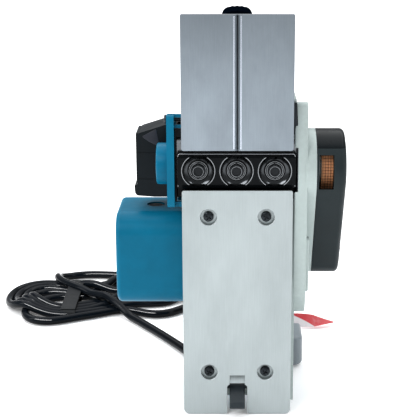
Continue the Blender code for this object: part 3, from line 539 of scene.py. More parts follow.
# The lead from the handle to the hank, and the tail from the hank to the plug
LEAD_ROUTE = [
    (0.0, 189.4, 23.8), (-0.4, 197.0, 18.6), (-2.0, 205.5, 11.5), (-6.0, 214.5, 6.2), (-13.5, 222.5, 3.8),
    (-24.5, 226.5, 3.6), (-36.5, 224.0, 3.6), (-47.0, 215.5, 3.6), (-56.0, 205.5, 3.6), (-67.0, 199.5, 3.6),
    (-79.0, 200.5, 3.8), (-88.0, 205.3, 4.4), (-100.0, 210.0, 4.6), (-114.0, 211.0, 4.6),
    (-128.0, 206.0, 4.6), (-140.0, 195.0, 4.6),
]
TAIL_ROUTE = [
    (-86.0, 308.0, 44.0), (-104.0, 309.0, 44.0), (-120.0, 310.5, 44.0), (-136.0, 312.0, 44.0),
    (-150.0, 311.0, 44.0), (-162.0, 305.0, 44.0), (-169.5, 294.0, 44.0), (-170.0, 280.0, 44.0),
    (-163.0, 267.0, 44.0), (-152.0, 255.5, 44.0), (-138.0, 242.5, 44.0), (-121.0, 226.5, 44.0),
    (-105.0, 209.0, 44.0), (-93.0, 193.0, 44.0), (-81.0, 176.0, 9.5), (-69.0, 158.0, 4.0),
    (-57.0, 139.5, 3.6), (-45.0, 119.5, 3.6), (-33.0, 97.0, 3.6), (-23.0, 73.0, 3.6), (-13.0, 54.0, 3.6),
    (5.0, 44.5, 3.8), (22.5, 47.5, 7.0), (32.0, 57.0, 11.5), (35.0, 66.0, 12.9), (35.0, 72.6, 13.0),
]

# Folds of the hank: how far each reaches, its front and back, and its places at the tie, as u and h
LEFT_FOLDS = [(-187, 177, 246.5, 200, 246), (-207, 200.5, 290, 203, 270), (-196, 208, 277, 210.5, 261.5),
              (-187, 215.5, 264, 218, 254), (-201.5, 204, 285, 206.8, 265)]
RIGHT_FOLDS = [(-52, 231, 277, 203, 243), (-36, 238, 301, 210.5, 270), (-44, 246, 292, 218, 261.5),
               (-40, 242, 296.5, 206.8, 254), (-42, 245, 308, None, 265)]
LAYER = 8.0


def arc_points(centre_u, centre_h, radius, side, angles):
    """Points round the far end of a fold, from its front towards its back."""
    return [(centre_u + side * radius * math.sin(math.radians(a)),
             centre_h - radius * math.cos(math.radians(a))) for a in angles]


def left_fold(far, front, back, front_tie, back_tie, first):
    """One fold on the left of the tie, walked from its front strand to its back strand."""
    radius = (back - front) / 2
    angles = (25, 50, 75, 100, 125, 150) if first else (0, 30, 60, 90, 120, 150)
    points = arc_points(far + radius, (back + front) / 2, radius, -1, angles)
    start = [] if first else [(TIE_U, front_tie)]
    near_tie = (TIE_U - 10, back_tie + 0.25 * (back - back_tie))
    return start + points + [near_tie, (TIE_U + 3, back_tie)]


def right_fold(far, front, back, front_tie, back_tie):
    """One fold on the right of the tie, walked from its back strand to its front strand."""
    radius = (back - front) / 2
    centre = far - radius
    points = [(TIE_U + reach, back_tie + share * (back - back_tie))
              for reach, share in ((13, 0.06), (26, 0.35), (39, 0.7), (53, 0.93))]
    if centre - 18 > -88:
        points.append((-82, back))
    points += arc_points(centre, (back + front) / 2, radius, 1, (180, 144, 108, 72, 36, 0))
    if centre - 18 > -88:
        points.append((-82, front))
    points += [(TIE_U + reach, front_tie + share * (front - front_tie))
               for reach, share in ((52, 0.9), (38, 0.62), (25, 0.3), (12, 0.06))]
    return points


def last_fold(far, front, back, back_tie):
    """The last fold, walked from its front strand round to the back, where the tail begins."""
    radius = (back - front) / 2
    points = [(TIE_U + reach, back_tie + share * (front - back_tie))
              for reach, share in ((13, 0.15), (25, 0.5), (38, 0.85), (54, 1.0))]
    return points + [(-82, front)] + arc_points(far - radius, (back + front) / 2, radius, 1,
                                                (0, 36, 72, 108, 144, 180))


def cord_route():
    """The whole cord before it settles: the folds of the hank lie one layer above another."""
    route = list(LEAD_ROUTE)
    for number, fold in enumerate(LEFT_FOLDS):
        height = 4.0 + LAYER * number
        route += [(u, h, height) for u, h in left_fold(*fold, first=number == 0)]
        far, front, back, front_tie, back_tie = RIGHT_FOLDS[number]
        if front_tie is None:
            turn = last_fold(far, front, back, back_tie)
        else:
            turn = right_fold(far, front, back, front_tie, back_tie)
        route += [(u, h, height + LAYER * k / (len(turn) - 1)) for k, (u, h) in enumerate(turn)]
    return route + TAIL_ROUTE


def even_points(route, spacing):
    """Evenly spaced points on the smooth curve through a route's own points."""
    knots = [np.array(p, float) for p in route]
    knots = [2 * knots[0] - knots[1]] + knots + [2 * knots[-1] - knots[-2]]
    fine = []
    for a, b, c, d in zip(knots, knots[1:], knots[2:], knots[3:]):
        for t in np.arange(24) / 24:
            fine.append(0.5 * (2 * b + (c - a) * t + (2 * a - 5 * b + 4 * c - d) * t ** 2
                               + (3 * b - a - 3 * c + d) * t ** 3))
    fine = np.array(fine + [knots[-2]])
    reached = np.r_[0, np.cumsum(np.linalg.norm(np.diff(fine, axis=0), axis=1))]
    wanted = np.linspace(0, reached[-1], max(2, round(reached[-1] / spacing)) + 1)
    return np.stack([np.interp(wanted, reached, fine[:, k]) for k in range(3)], 1)


def straightening(points):
    """The push of a springy cord against being bent."""
    push = np.zeros_like(points)
    push[2:-2] = -(points[:-4] - 4 * points[1:-3] + 6 * points[2:-2] - 4 * points[3:-1] + points[4:]) / 16
    return push


def settle(points, fixed, rounds=560, still=40, gap=7.12):
    """Let the cord sink onto the floor and onto itself, keeping its length and its thickness."""
    home = points.copy()
    free = ~fixed
    rest = np.linalg.norm(np.diff(points * [1, 1, 0.35], axis=0), axis=1)
    first, second = np.triu_indices(len(points), 5)
    for number in range(rounds):
        sinking = number < rounds - still
        if sinking:
            points[free, 2] -= 0.3
        for _ in range(3):
            points[free] += 0.8 * straightening(points)[free]
        if sinking:
            points[free, :2] += 0.05 * (home - points)[free, :2]
        if number % 4 == 0:
            near = np.linalg.norm(points[first] - points[second], axis=1) < gap + 5
            one, two = first[near], second[near]
        for _ in range(3):
            step = np.diff(points, axis=0)
            size = np.linalg.norm(step, axis=1)
            pull = ((size - rest) / size / 2)[:, None] * step
            move = np.zeros_like(points)
            move[:-1] += pull
            move[1:] -= pull
            points[free] += 0.5 * move[free]
            apart = points[one] - points[two]
            distance = np.linalg.norm(apart, axis=1)
            touching = distance < gap
            a, b = one[touching], two[touching]
            distance = np.maximum(distance[touching], 1e-6)
            push = ((gap - distance) / distance / 2)[:, None] * apart[touching] * [0.6, 0.6, 1.0]
            move = np.zeros_like(points)
            count = np.zeros(len(points))
            for end, sign in ((a, 1), (b, -1)):
                np.add.at(move, end, sign * push)
                np.add.at(count, end, 1)
            points[free] += (1.4 * move / np.maximum(count, 1)[:, None])[free]
            points[:, 2] = np.maximum(points[:, 2], CORD_RADIUS + 0.1)
    return points


def in_frame(point):
    return (ORIGIN + Vector(point)) * MM


def make_cord():
    points = even_points(cord_route(), 5.0)
    fixed = np.zeros(len(points), bool)
    fixed[:8] = True
    fixed[-6:] = True
    points = settle(points, fixed)
    over_tie = np.exp(-((points[-TAIL_POINTS:, 0] - TIE_U) / 16) ** 2)
    points[-TAIL_POINTS:, 2] += 1.5 * over_tie * (points[-TAIL_POINTS:, 1] < 290)
    length = float(np.linalg.norm(np.diff(points, axis=0), axis=1).sum())
    fine = [in_frame(place) for place in even_points(points, 2.5)]
    cord = tube("mains_cord", fine, CORD_RADIUS * MM, 8)
    cord.data.materials.append(SHEATH)
    bpy.context.scene.collection.objects.link(cord)
    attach(cord, "frame")
    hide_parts("cord_lead", "cord_hank", "cord_tail")
    return cord, points, length


def make_guard():
    """Tapered strain relief, slotted into rings."""
    way = GUARD_END - GUARD_START
    reach = way.length
    profile = [(0.0, 0.0), (5.4, 0.0), (5.4, 6.0)]
    rings = 9
    for number in range(rings):
        low = 7.0 + number * (reach - 8.5) / rings
        high = low + (reach - 8.5) / rings
        radius = 5.35 - 1.05 * number / (rings - 1)
        neck = radius - 0.9
        profile += [(neck, low), (neck, low + 1.2), (radius, low + 1.5), (radius, high - 0.3)]
    profile += [(4.3, reach - 0.8), (3.9, reach), (0.0, reach)]
    bm = turned(profile, GUARD_START, way, 64)
    return piece("cord_guard_boot", bm, SHEATH, nodes=["cord_guard"], smooth=30)


def make_plug():
    """Flat moulded plug lying on its side, with grip ribs, a ringed neck and two pins."""
    u, z = 35.0, 13.0
    outline = corners_rounded([(18, 86, 8), (52, 86, 8), (52, 122, 3), (18, 122, 3)], 8)
    body = plate(outline, 1, 25, ALONG_L, rounding=3.0, rounding_steps=6)
    face = plate(corners_rounded([(20.5, 118, 1), (49.5, 118, 1), (49.5, 122.6, 1), (20.5, 122.6, 1)]),
                 3.4, 22.6, ALONG_L, rounding=1.0)
    cuts = []
    for number in range(4):
        h = 97.0 + 4.6 * number
        for side in (17.2, 52.8):
            cuts.append(rod((side, h, 5), (side, h, 21), 1.5, 24))
        for side in (0.2, 25.8):
            cuts.append(rod((26, h, side), (44, h, side), 1.3, 24))
    plug = piece("plug_body", carve(body, cuts, [face]), PLUG, nodes=["plug"], soften=0.25)
    profile = [(0.0, 14.5), (8.6, 14.5), (8.2, 11.0)]
    for number in range(4):
        high = 10.5 - 2.5 * number
        radius = 7.6 - 0.75 * number
        profile += [(radius, high), (radius - 0.3, high - 1.4), (radius - 1.2, high - 1.7),
                    (radius - 1.3, high - 2.3)]
    profile += [(4.4, 0.4), (4.0, 0.0), (0.0, 0.0)]
    neck = piece("plug_neck", turned(profile, (u, 73, z), (0, 1, 0), 64), PLUG)
    pins = []
    for number, side in enumerate((-9.5, 9.5), 1):
        shape = [(0, 0), (2.4, 0), (2.4, 16.6), (2.1, 18.2), (1.3, 18.9), (0, 19.0)]
        pins.append(piece(f"plug_pin_{number}", turned(shape, (u + side, 122, z), (0, 1, 0), 40), BRIGHT))
    return [plug, neck, *pins]


def band(points, width, thickness, ways):
    """A strap that follows points; width and ways, its direction across, may be given for each point."""
    bm = bmesh.new()
    widths = width if isinstance(width, list) else [width] * len(points)
    ways = ways if isinstance(ways, list) else [Vector(ways)] * len(points)
    rows = []
    for i, point in enumerate(points):
        along = (Vector(points[min(i + 1, len(points) - 1)]) - Vector(points[max(i - 1, 0)])).normalized()
        across = ways[i].normalized()
        out = along.cross(across).normalized()
        rows.append([bm.verts.new(Vector(point) + across * (widths[i] / 2) * a + out * (thickness / 2) * b)
                     for a, b in ((-1, -1), (1, -1), (1, 1), (-1, 1))])
    for one, two in zip(rows, rows[1:]):
        for k in range(4):
            n = (k + 1) % 4
            bm.faces.new((one[k], one[n], two[n], two[k]))
    bm.faces.new(rows[0])
    bm.faces.new(rows[-1])
    return bm


def make_tie(points):
    """A flat strap wound once round the hank, with its end laid over itself."""
    held = []
    for one, two in zip(points[:-TAIL_POINTS], points[1:]):
        if (one[0] - TIE_U) * (two[0] - TIE_U) <= 0 and one[1] > 198:
            held.append((float(one[1]), float(one[2]), CORD_RADIUS + 0.6))
    outline = hull_of_circles(held, 40)
    start = max(range(len(outline)), key=lambda k: outline[k][1] - 0.02 * outline[k][0])
    outline = outline[start:] + outline[:start]
    lap = len(outline) // 9
    route = []
    for k in range(len(outline) + lap):
        h, z = outline[k % len(outline)]
        lift = 0.85 * max(0.0, min(1.0, (k - len(outline) + 4) / 4))
        route.append((TIE_U, h, max(0.6, z) + lift))
    return piece("hank_tie", band(route, TIE_WIDTH, 0.9, (1, 0, 0)), TIE, soften=0.2, smooth=60)


TAG_ROUTE = [(24, 168, 5.2), (34, 172, 6.2), (44, 175, 6.6), (54, 176.5, 6.4), (64, 177.5, 5.6),
             (74, 178.5, 4.6), (84, 180, 3.4)]
TAG_WIDTH = 12.5


def make_tag():
    """A plain striped strip lying behind the tail, twisted a little, with a pointed end."""
    route = even_points(TAG_ROUTE, 1.0)
    reach = len(route) - 1
    ways, widths = [], []
    for k in range(len(route)):
        share = k / reach
        along = (Vector(route[min(k + 1, reach)]) - Vector(route[max(k - 1, 0)])).normalized()
        up = Vector((0, 0, 1))
        up = (up - along * up.dot(along)).normalized()
        ways.append(Matrix.Rotation(-0.35 - 0.95 * share ** 1.5, 3, along) @ up)
        widths.append(TAG_WIDTH * min(1.0, 0.12 + 2.6 * (1 - share) ** 0.9) * min(1.0, 0.55 + 1.2 * share))
    return piece("striped_tag", band(route, widths, 0.35, ways), TAG, smooth=60)


# ---------------------------------------------------------------- sole

BASE_SCREWS = [(-20.0, 32.0), (20.0, 32.0), (-20.0, 147.0), (20.0, 147.0)]
DRUM_BORE = 29.6


def cross_screw(name, node, place, way, radius, height, shank, material, body="frame", under=0.0):
    """Pan-head screw with a cross recess; place is the top of its head and way points out of it."""
    way = Vector(way)
    place = Vector(place)
    profile = [(0, -shank), (radius * 0.42, -shank), (radius * 0.46, -height), (radius + under, -height),
               (radius + under * 0.5, -height * 0.55), (radius * 0.93, -height * 0.2), (radius * 0.72, 0.0),
               (0, 0.0)]
    head = turned(profile, place, way, 48)
    side = Vector((0, 0, 1)) if abs(way.z) < 0.5 else Vector((1, 0, 0))
    turn = Matrix((way.cross(side), side, way)).transposed()
    slots = []
    for long, wide in ((radius * 1.15, radius * 0.26), (radius * 0.26, radius * 1.15)):
        slot = box((-long / 2, -wide / 2, -height * 0.62), (long / 2, wide / 2, 1.0))
        bmesh.ops.rotate(slot, matrix=Matrix.Rotation(0.5, 3, "Z"), verts=slot.verts)
        bmesh.ops.rotate(slot, matrix=turn, verts=slot.verts)
        bmesh.ops.translate(slot, vec=place, verts=slot.verts)
        slots.append(slot)
    centre = rod(place + way, place - way * height * 0.72, radius * 0.2, 16, radius * 0.1)
    return piece(name, carve(head, slots + [centre]), material, body=body, nodes=[node], soften=0.1,
                 segments=2)


def make_rear_base():
    w, notch, depth = SOLE_HALF, 7.25, 22.6
    outline = corners_rounded([
        (-w, THROAT[0], 1.5), (-w, 0, 4), (-notch, 0, 1.5), (-notch, depth, 2.5),
        (notch, depth, 2.5), (notch, 0, 1.5), (w, 0, 4), (w, THROAT[0], 1.5)], 10)
    cuts = []
    for u, l in BASE_SCREWS:
        cuts.append(rod((u, -1, l), (u, 3.6, l), 5.65, 64))
        cuts.append(rod((u, -0.5, l), (u, 0.45, l), 6.5, 64, 5.55))
        cuts.append(rod((u, 3, l), (u, 7, l), 2.9, 32))
    cuts.append(cross_rod((2.3 - 12, depth), -5.5, 5.5, 12.0, 128))
    cuts.append(cross_rod(DRUM_AXIS, -SOLE_HALF - 1, SOLE_HALF + 1, DRUM_BORE, 160))
    base = carve(plate(outline, 0, THICK, ALONG_H), cuts)
    piece("rear_sole", base, SOLE_REAR, nodes=["rear_base"], soften=0.45)
    for number, (u, l) in enumerate(BASE_SCREWS, 1):
        name = f"rear_base_screw_{number}"
        cross_screw(f"sole_screw_{number}", name, (u, 0.8, l), (0, -1, 0), 3.6, 2.4, 14, OXIDE)


def make_front_base():
    w = SOLE_HALF
    corners = [(-w, TOE_L, 0.8), (-w, THROAT[1], 1.5), (w, THROAT[1], 1.5), (w, TOE_L, 0.8)]
    outline = corners_rounded(corners, 10)
    groove = rod((0, 0, THROAT[1] - 1), (0, 0, TOE_L + 1), 1.9, 4)
    clearance = cross_rod(DRUM_AXIS, -w - 1, w + 1, DRUM_BORE, 160)
    guides = [box((low, THICK - 1, 224.3), (high, 24, 276.7))
              for low, high in ((-28.7, -22.5), (22.5, 28.7))]
    base = carve(plate(outline, 0, THICK, ALONG_H), [groove, clearance], guides)
    piece("front_sole", base, SOLE_FRONT, body="front_base", nodes=["front_base"], soften=0.35)
    # Bright rods along both edges of the groove are painted highlights
    for side in (-1, 1):
        lip = turned([(0, 0), (0.8, 0.4), (0.8, 90.4), (0, 90.8)], (side * 2.4, 0.66, THROAT[1] + 0.7),
                     (0, 0, 1), 40)
        piece(f"groove_lip_{'left' if side < 0 else 'right'}", lip, GROOVE_HIGHLIGHT, body="front_base", smooth=60)
    # A dark rod laid in the bottom of the groove is painted shadow
    shadow = turned([(0, 0), (0.55, 0), (0.55, 91), (0, 91)], (0, 1.75, THROAT[1] + 0.5), (0, 0, 1), 16)
    piece("groove_painted_shadow", shadow, OXIDE, body="front_base", slot="machined_aluminium")


# ---------------------------------------------------------------- frame and its covers

WALL = (39.2, 48.5)
FRAME_LEFT = -34.0
FLANGE_FACE = 54.8
COVER_FACE = 75.0
COVER_SCREWS = [(44.0, 142.8), (43.2, 194.6)]
PLATE_SCREW = (14.0, 213.4)


def make_main_frame():
    profile = corners_rounded([
        (6.3, 8, 0), (21, 8, 3), (21, 147, 2), (84, 149, 3), (84, 200, 8), (58, 214, 8), (43, 222, 6),
        (36, 232, 6), (36, 282, 5), (7.6, 282, 2), (7.6, 180, 0), (6.3, 180, 0)], 8)
    wall = hull_of_circles([(*MOTOR_AXIS, 40), (*COVER_CENTRE, 26.5), (10.3, 222, 4), (36, 213, 7),
                            (9, 88, 2.7), (18, 75, 3)], 120)
    flange = drive_outline(27, 17.2)
    joins = [plate(wall, *WALL, rounding=1.1, rounding_steps=4),
             plate(flange, WALL[1] - 1.5, FLANGE_FACE, rounding=0.5, rounding_steps=3),
             rod((0, 8, KNOB_L), (0, 32, KNOB_L), 9.4, 64)]
    cuts = [cross_rod(DRUM_AXIS, FRAME_LEFT - 1, 41.8, DRUM_BORE, 128),
            cross_rod(DRUM_AXIS, 40, 50.3, 13.2, 64), cross_rod(DRUM_AXIS, 50, 56, 8.0, 48),
            cross_rod(MOTOR_AXIS, 38, 46.3, 11.2, 64), cross_rod(MOTOR_AXIS, 46, 56, 6.5, 48),
            box((FRAME_LEFT - 1, 47.5, 162), (12, 73, 198)), box((-7.6, 5, 6), (7.6, 15, 29)),
            cross_rod((9.5, 19.5), -11, 11, 1.9, 24), rod((0, 7, KNOB_L), (0, 30, KNOB_L), 7.2, 48),
            rod((0, 29, KNOB_L), (0, 37, KNOB_L), 4.4, 32),
            box((SOLE_HALF - 2, 6, 228), (WALL[0] + 2, 40, TOE_L)),
            box((-28, 62, 152), (34, 80, 230)), cross_rod(PLATE_SCREW, -36, -28, 2.0, 20)]
    cuts += [rod((u, 5, l), (u, 18, l), 2.8, 24) for u, l in BASE_SCREWS]
    cuts += [cross_rod(axis, 50.5, 56, 2.0, 20) for axis in COVER_SCREWS]
    bm = carve(plate(profile, FRAME_LEFT, WALL[0] + 1.2), [box((-29, 6, 224), (29, 31, 277))], joins)
    bm = carve(bm, cuts[:8])
    bm = carve(bm, cuts[8:])
    piece("frame_casting", bm, CAST, nodes=["main_frame"], soften=0.5)


def drive_outline(drum_radius, motor_radius, steps=120):
    """The outline round both ends of the drive, which the cover, its flange and its seal follow."""
    return hull_of_circles([(*COVER_CENTRE, drum_radius), (*MOTOR_AXIS, motor_radius)], steps)


def ring_plate(outer, inner, low, high, **rim):
    return carve(plate(outer, low, high, **rim), [plate(inner, low - 5, high + 5)])


def make_frame_details():
    """The rib on the side wall, a dark strip of painted shadow in the gap beside the throat, and the seal
    under the belt cover.
    """
    rib = hull_of_circles([(10.5, 128, 2.2), (14, 90, 1.4)], 40)
    piece("wall_rib", plate(rib, 44.0, 50.6, rounding=1.1), CAST, smooth=50)
    # Painted shadow: a dark strip standing in for the shaded gap between the front sole and the side wall
    seal = corners_rounded([(38.7, 226.5, 0.5), (40.6, 226, 0.5), (41.9, 202.5, 1), (43.6, 199.5, 1),
                            (43.6, 165, 1), (42.6, 160.2, 0.3), (41.1, 160.2, 0.3), (41.1, 200.5, 0.3),
                            (39.8, 203.5, 0.3), (38.7, 204.5, 0.3)], 6)
    piece("throat_gap_painted_shadow", plate(seal, 5.0, 8.0, ALONG_H, rounding=0.3), OXIDE, smooth=50)
    gasket_outer = drive_outline(26.4, 16.6)
    gasket_inner = drive_outline(24.6, 14.8)
    piece("cover_seal", ring_plate(gasket_outer, gasket_inner, 54.6, 55.6), OXIDE)


def cover_shell(radius_drum, radius_motor, rounding, high):
    outline = drive_outline(radius_drum, radius_motor, 144)
    return plate(outline, 2 * (FLANGE_FACE + GAP) - high, high, rounding=rounding, rounding_steps=7)


def make_belt_cover():
    """The cover is moulded with a parting step near its toe end; the window shows the belt."""
    parting = 194.3
    inner = drive_outline(25, 15.2, 96)
    cuts = [box((0, -20, 60), (FLANGE_FACE + GAP, 110, 230)),
            plate(inner, FLANGE_FACE - 1, COVER_FACE - 2.4), box((56.2, -5, 166), (66.4, 8, 190))]
    for axis in COVER_SCREWS:
        cuts.append(cross_rod(axis, FLANGE_FACE - 1, COVER_FACE + 1, 1.9, 24))
        cuts.append(cross_rod(axis, COVER_FACE - 0.4, COVER_FACE + 1, 4.6, 40))
    joins = [cross_rod(axis, FLANGE_FACE + GAP, COVER_FACE - 1.5, 3.4, 24) for axis in COVER_SCREWS]
    whole = carve(carve(cover_shell(27, 17.2, 3.5, COVER_FACE), cuts[:2]), cuts[2:], joins)
    upper = whole.copy()
    lower = carve(whole, [box((40, -20, parting - 0.12), (90, 110, 230))])
    upper = carve(upper, [box((40, -20, 60), (90, 110, parting + 0.12))])
    piece("belt_cover_shell", lower, COVER, nodes=["belt_cover"], soften=0.3)
    piece("belt_cover_toe", upper, COVER_DARK, soften=0.3)
    rim_outer = drive_outline(20.5, 11.2)
    rim_inner = drive_outline(19.5, 10.2)
    piece("cover_rim", ring_plate(rim_outer, rim_inner, COVER_FACE - 0.6, COVER_FACE + 0.5), COVER,
          soften=0.25)
    for number in range(5):
        h, l = 36.0 + 4.6 * number, 168.0 - 13.0 * number
        slot = hull_of_circles([(h - 8, l - 5, 1.3), (h + 8, l + 5, 1.3)], 32)
        piece(f"cover_louvre_{number + 1}", plate(slot, COVER_FACE - 0.6, COVER_FACE + 0.8, rounding=0.5),
              COVER_DARK, smooth=50)
    for number, axis in enumerate(COVER_SCREWS, 1):
        cross_screw(f"cover_screw_{number}", f"belt_cover_screw_{number}", (76.8, *axis), (1, 0, 0), 3.3,
                    1.8, 20, OXIDE)


def make_belt():
    """A ribbed belt with a woven outer face."""
    circles = ((DRUM_AXIS, 16.5), (MOTOR_AXIS, 11.0))
    outer = hull_of_circles([(*axis, r + 1.9) for axis, r in circles], 200)
    inner = hull_of_circles([(*axis, r - 1.0) for axis, r in circles], 200)
    joins = []
    for number in range(5):
        u = 58.4 + 1.83 * number
        ridge = hull_of_circles([(*axis, r + 2.15) for axis, r in circles], 160)
        joins.append(plate(ridge, u, u + 0.9))
    bm = carve(carve(plate(outer, 58.4, 66.6), (), joins), [plate(inner, 57, 68)])
    piece("ribbed_belt", bm, BELT, nodes=["drive_belt"], soften=0.12, segments=1)


def make_bearing_plate():
    low, high = -48.5, -43.4
    outline = corners_rounded([
        (3.5, 152.5, 4), (43.7, 152.5, 6), (43.7, 208, 8), (24, 215.5, 10), (3.5, 218, 3)], 10)
    bars = [box((low + 1, 8.3, l0), (FRAME_LEFT - GAP, 10.8, l1))
            for l0, l1 in ((152.5, 156.0), (208.2, 210.4), (215.5, 217.7))]
    boss = turned([(0, 0), (13.4, 0), (14.2, 0.35), (14.7, 1.3), (14.7, 12.4), (15.6, 13.2), (0, 13.2)],
                  (-56.8, *DRUM_AXIS), (1, 0, 0), 96)
    inset = [hull_of_circles([(28, 205.5, 2.2), (36.5, 201, 2.2)], 32),
             hull_of_circles([(37.5, 158.5, 1.8), (18, 158.5, 1.8)], 32)]
    cuts = [cross_rod(DRUM_AXIS, -51.6, high + 1, 11.2, 64),
            cross_rod(PLATE_SCREW, low - 1, high + 1, 2.0, 24), cross_rod(DRUM_AXIS, -58, -56.2, 9.5, 64)]
    cuts += [plate(shape, low - 1, low + 0.7) for shape in inset]
    bm = carve(plate(outline, low, high), cuts, [boss, *bars])
    piece("drum_side_plate", bm, TEAL, nodes=["bearing_plate"], soften=0.55)
    cross_screw("side_plate_screw", "bearing_plate_screw", (-50.5, *PLATE_SCREW), (-1, 0, 0), 3.2, 1.7, 20,
                OXIDE)


def make_dust_shield():
    cuts = [cross_rod(DRUM_AXIS, -42.1, FRAME_LEFT, DRUM_BORE, 96), cross_rod(DRUM_AXIS, -44, -41, 11.6, 64)]
    bm = carve(box((-43.1, 9, 156.5), (FRAME_LEFT - GAP, 43.7, 207.7)), cuts)
    piece("inner_shield", bm, BLACK, nodes=["dust_shield"], soften=0.4)
    pin = turned([(0, 0), (1.0, 0), (1.2, 0.4), (1.2, 5.8), (1.0, 6.2), (0, 6.2)], (-35.8, 8.7, 201.4),
                 (0, 0, 1), 24)
    piece("shield_pin", pin, OXIDE)


def make_chip_chute():
    """Side chute with a slanted toe facet in lighter plastic as painted sheen, two moulded steps and a lip
    round its mouth.
    """
    (h0, h1), (l0, l1) = (44.3, 76.0), (150.5, 204.0)
    inner, end, lip = FRAME_LEFT - GAP, -72.0, -74.4
    outline = corners_rounded([
        (inner, l0, 0), (inner, l1, 0), (-50, l1, 3), (end, l1 - 7, 4), (end, l0 + 9.5, 1),
        (lip, l0 + 8.5, 1), (lip + 0.5, l0 + 1, 3), (-60, l0, 6)], 8)
    cuts = [box((lip - 2, h0 + 3, l0 + 12), (FRAME_LEFT, h1 - 3, l1 - 8.5)),
            cross_rod(DRUM_AXIS, -43.2, FRAME_LEFT + 1, DRUM_BORE, 96)]
    for place in (l1 - 21.0, l0 + 13.0):
        cuts.append(box((end - 2, h0 - 1, place), (-50.5, h0 + 0.35, place + 0.8)))
    bm = carve(plate(outline, h0, h1, ALONG_H), cuts)
    piece("chip_spout", bm, BLACK, nodes=["chip_chute"], soften=1.4, segments=4)
    rim = carve(box((-72.9, h0 + 1.2, l0 + 10.2), (-70.4, h1 - 1.2, l1 - 6.8)),
                [box((-76, h0 + 3.2, l0 + 12.2), (-66, h1 - 3.2, l1 - 8.7))])
    piece("spout_rim", rim, BLACK, soften=0.5)
    collar = carve(box((-50.6, h0 - 0.5, l0 + 0.4), (-45.4, h1 + 0.5, l1 + 0.7)),
                   [box((-53, h0 + 1.0, l0 + 1.9), (-44, h1 - 1, l1 - 0.8)),
                    cross_rod(DRUM_AXIS, -52, -43, 16, 64)])
    piece("spout_collar", collar, BLACK, soften=0.5)
    # A lighter patch on the chute's toe face is painted sheen
    wedge = corners_rounded([(-68.6, l1 - 9.0, 0.8), (-58.0, l1 - 3.4, 0.8), (-55.2, l1 - 17.0, 0.8),
                             (-63.5, l1 - 12.6, 9.0)], 8)
    piece("spout_facet", plate(wedge, h0 - 0.35, h0 + 2, ALONG_H, rounding=0.3), FACET_SHEEN)


# ---------------------------------------------------------------- motor

MOTOR_SPAN = (-87.5, 38.9)
MOTOR_HALF = 34.4
MOTOR_CORNER = 16.0
BRUSH_U = -60.0


def spoke_box(low, high, angle, u_start):
    """A box that reaches out from the motor's axis at an angle; low and high are (u, aside, reach)."""
    bm = box(low, high)
    bmesh.ops.rotate(bm, matrix=Matrix.Rotation(angle, 3, "X"), verts=bm.verts)
    bmesh.ops.translate(bm, vec=(u_start, *MOTOR_AXIS), verts=bm.verts)
    return bm


def motor_outline(inset=0.0, steps=96):
    """The square section of the motor housing, with rounded corners."""
    h, l = MOTOR_AXIS
    reach = MOTOR_HALF - MOTOR_CORNER
    corners = [(h + i * reach, l + j * reach, MOTOR_CORNER - inset) for i in (-1, 1) for j in (-1, 1)]
    return hull_of_circles(corners, steps)


def make_motor_housing():
    u0, u1 = MOTOR_SPAN
    edge = 3.5
    block = plate(motor_outline(), u0, u1 + 2 * edge, rounding=edge, rounding_steps=8)
    bm = carve(block, [box((u1, 0, 50), (u1 + 20, 120, 160)), plate(motor_outline(2.8), u0 + 4, u1 + 10),
                       cross_rod(MOTOR_AXIS, u0 + 1.6, u0 + 6, 8.2, 64),
                       cross_rod(MOTOR_AXIS, u0 - 1, u0 + 3, 4.6, 48)])
    cuts = []
    vent_half = 1.25
    for number in range(20):
        angle = 2 * math.pi * (number + 0.5) / 20
        cuts.append(spoke_box((-1, -vent_half, 14), (9, vent_half, 30), angle, u0))
    h, l = MOTOR_AXIS
    for sign in (-1, 1):
        cuts.append(rod((BRUSH_U, h, l + sign * 28), (BRUSH_U, h, l + sign * 38), 6.6, 48))
    bm = carve(bm, cuts[:10])
    bm = carve(bm, cuts[10:])
    piece("motor_case", bm, TEAL, nodes=["motor_housing"], soften=0.25, segments=2)
    for name, low, high in (("motor_end_ring", 28.0, 29.2), ("motor_hub_ring", 11.2, 12.6)):
        ring = turned([(low, 0), (high, 0), (high, 1.2), (low, 1.2)], (u0 - 0.25, *MOTOR_AXIS), (1, 0, 0),
                      128)
        piece(name, ring, TEAL, soften=0.25)
    for number, sign in enumerate((-1, 1), 1):
        way = (0, 0, sign)
        place = (BRUSH_U, h, l + sign * 28.4)
        disc = turned([(0, 0), (6.2, 0), (6.2, 4.2), (5.6, 5.2), (0, 5.2)], place, way, 56)
        end = l + sign * 33.4
        slot = box((BRUSH_U - 4.5, h - 0.75, end - 1.2), (BRUSH_U + 4.5, h + 0.75, end + 1.2))
        piece(f"brush_plug_{number}", carve(disc, [slot]), BLACK, nodes=[f"brush_cap_{number}"], soften=0.2)


# ---------------------------------------------------------------- cutter drum

DRUM_SPAN = (-41.6, 40.4)
DRUM_RADIUS = 26.2
CUTTING_RADIUS = 28.0
DRUM_FLAT = 17.0
BLADE_THICKNESS = 1.1
CLAMP_HALF = 12.4
CLAMP_TOP = 24.4
BOLTS_U = (-26.9, -0.6, 25.8)


def make_drum():
    h, l = DRUM_AXIS
    u0, u1 = DRUM_SPAN
    cuts = []
    for sign in (-1, 1):
        low, high = sorted((h + sign * DRUM_FLAT, h + sign * 40))
        cuts.append(box((u0 - 1, low, l - 40), (u1 + 1, high, l + 40)))
        cuts += [rod((u, h + sign * 9, l), (u, h + sign * 30, l), 3.3, 32) for u in BOLTS_U]
    bm = carve(cross_rod(DRUM_AXIS, u0, u1, DRUM_RADIUS, 180), cuts,
               [cross_rod(DRUM_AXIS, -50.5, 52.5, 6.0, 48), cross_rod(DRUM_AXIS, 52, 69.5, 5.2, 48)])
    piece("cutter_block", bm, ANODISED, body="drum", nodes=["cutter_drum"], soften=0.3)
    for number, sign in ((1, -1), (2, 1)):
        make_blade_and_clamp(number, sign)


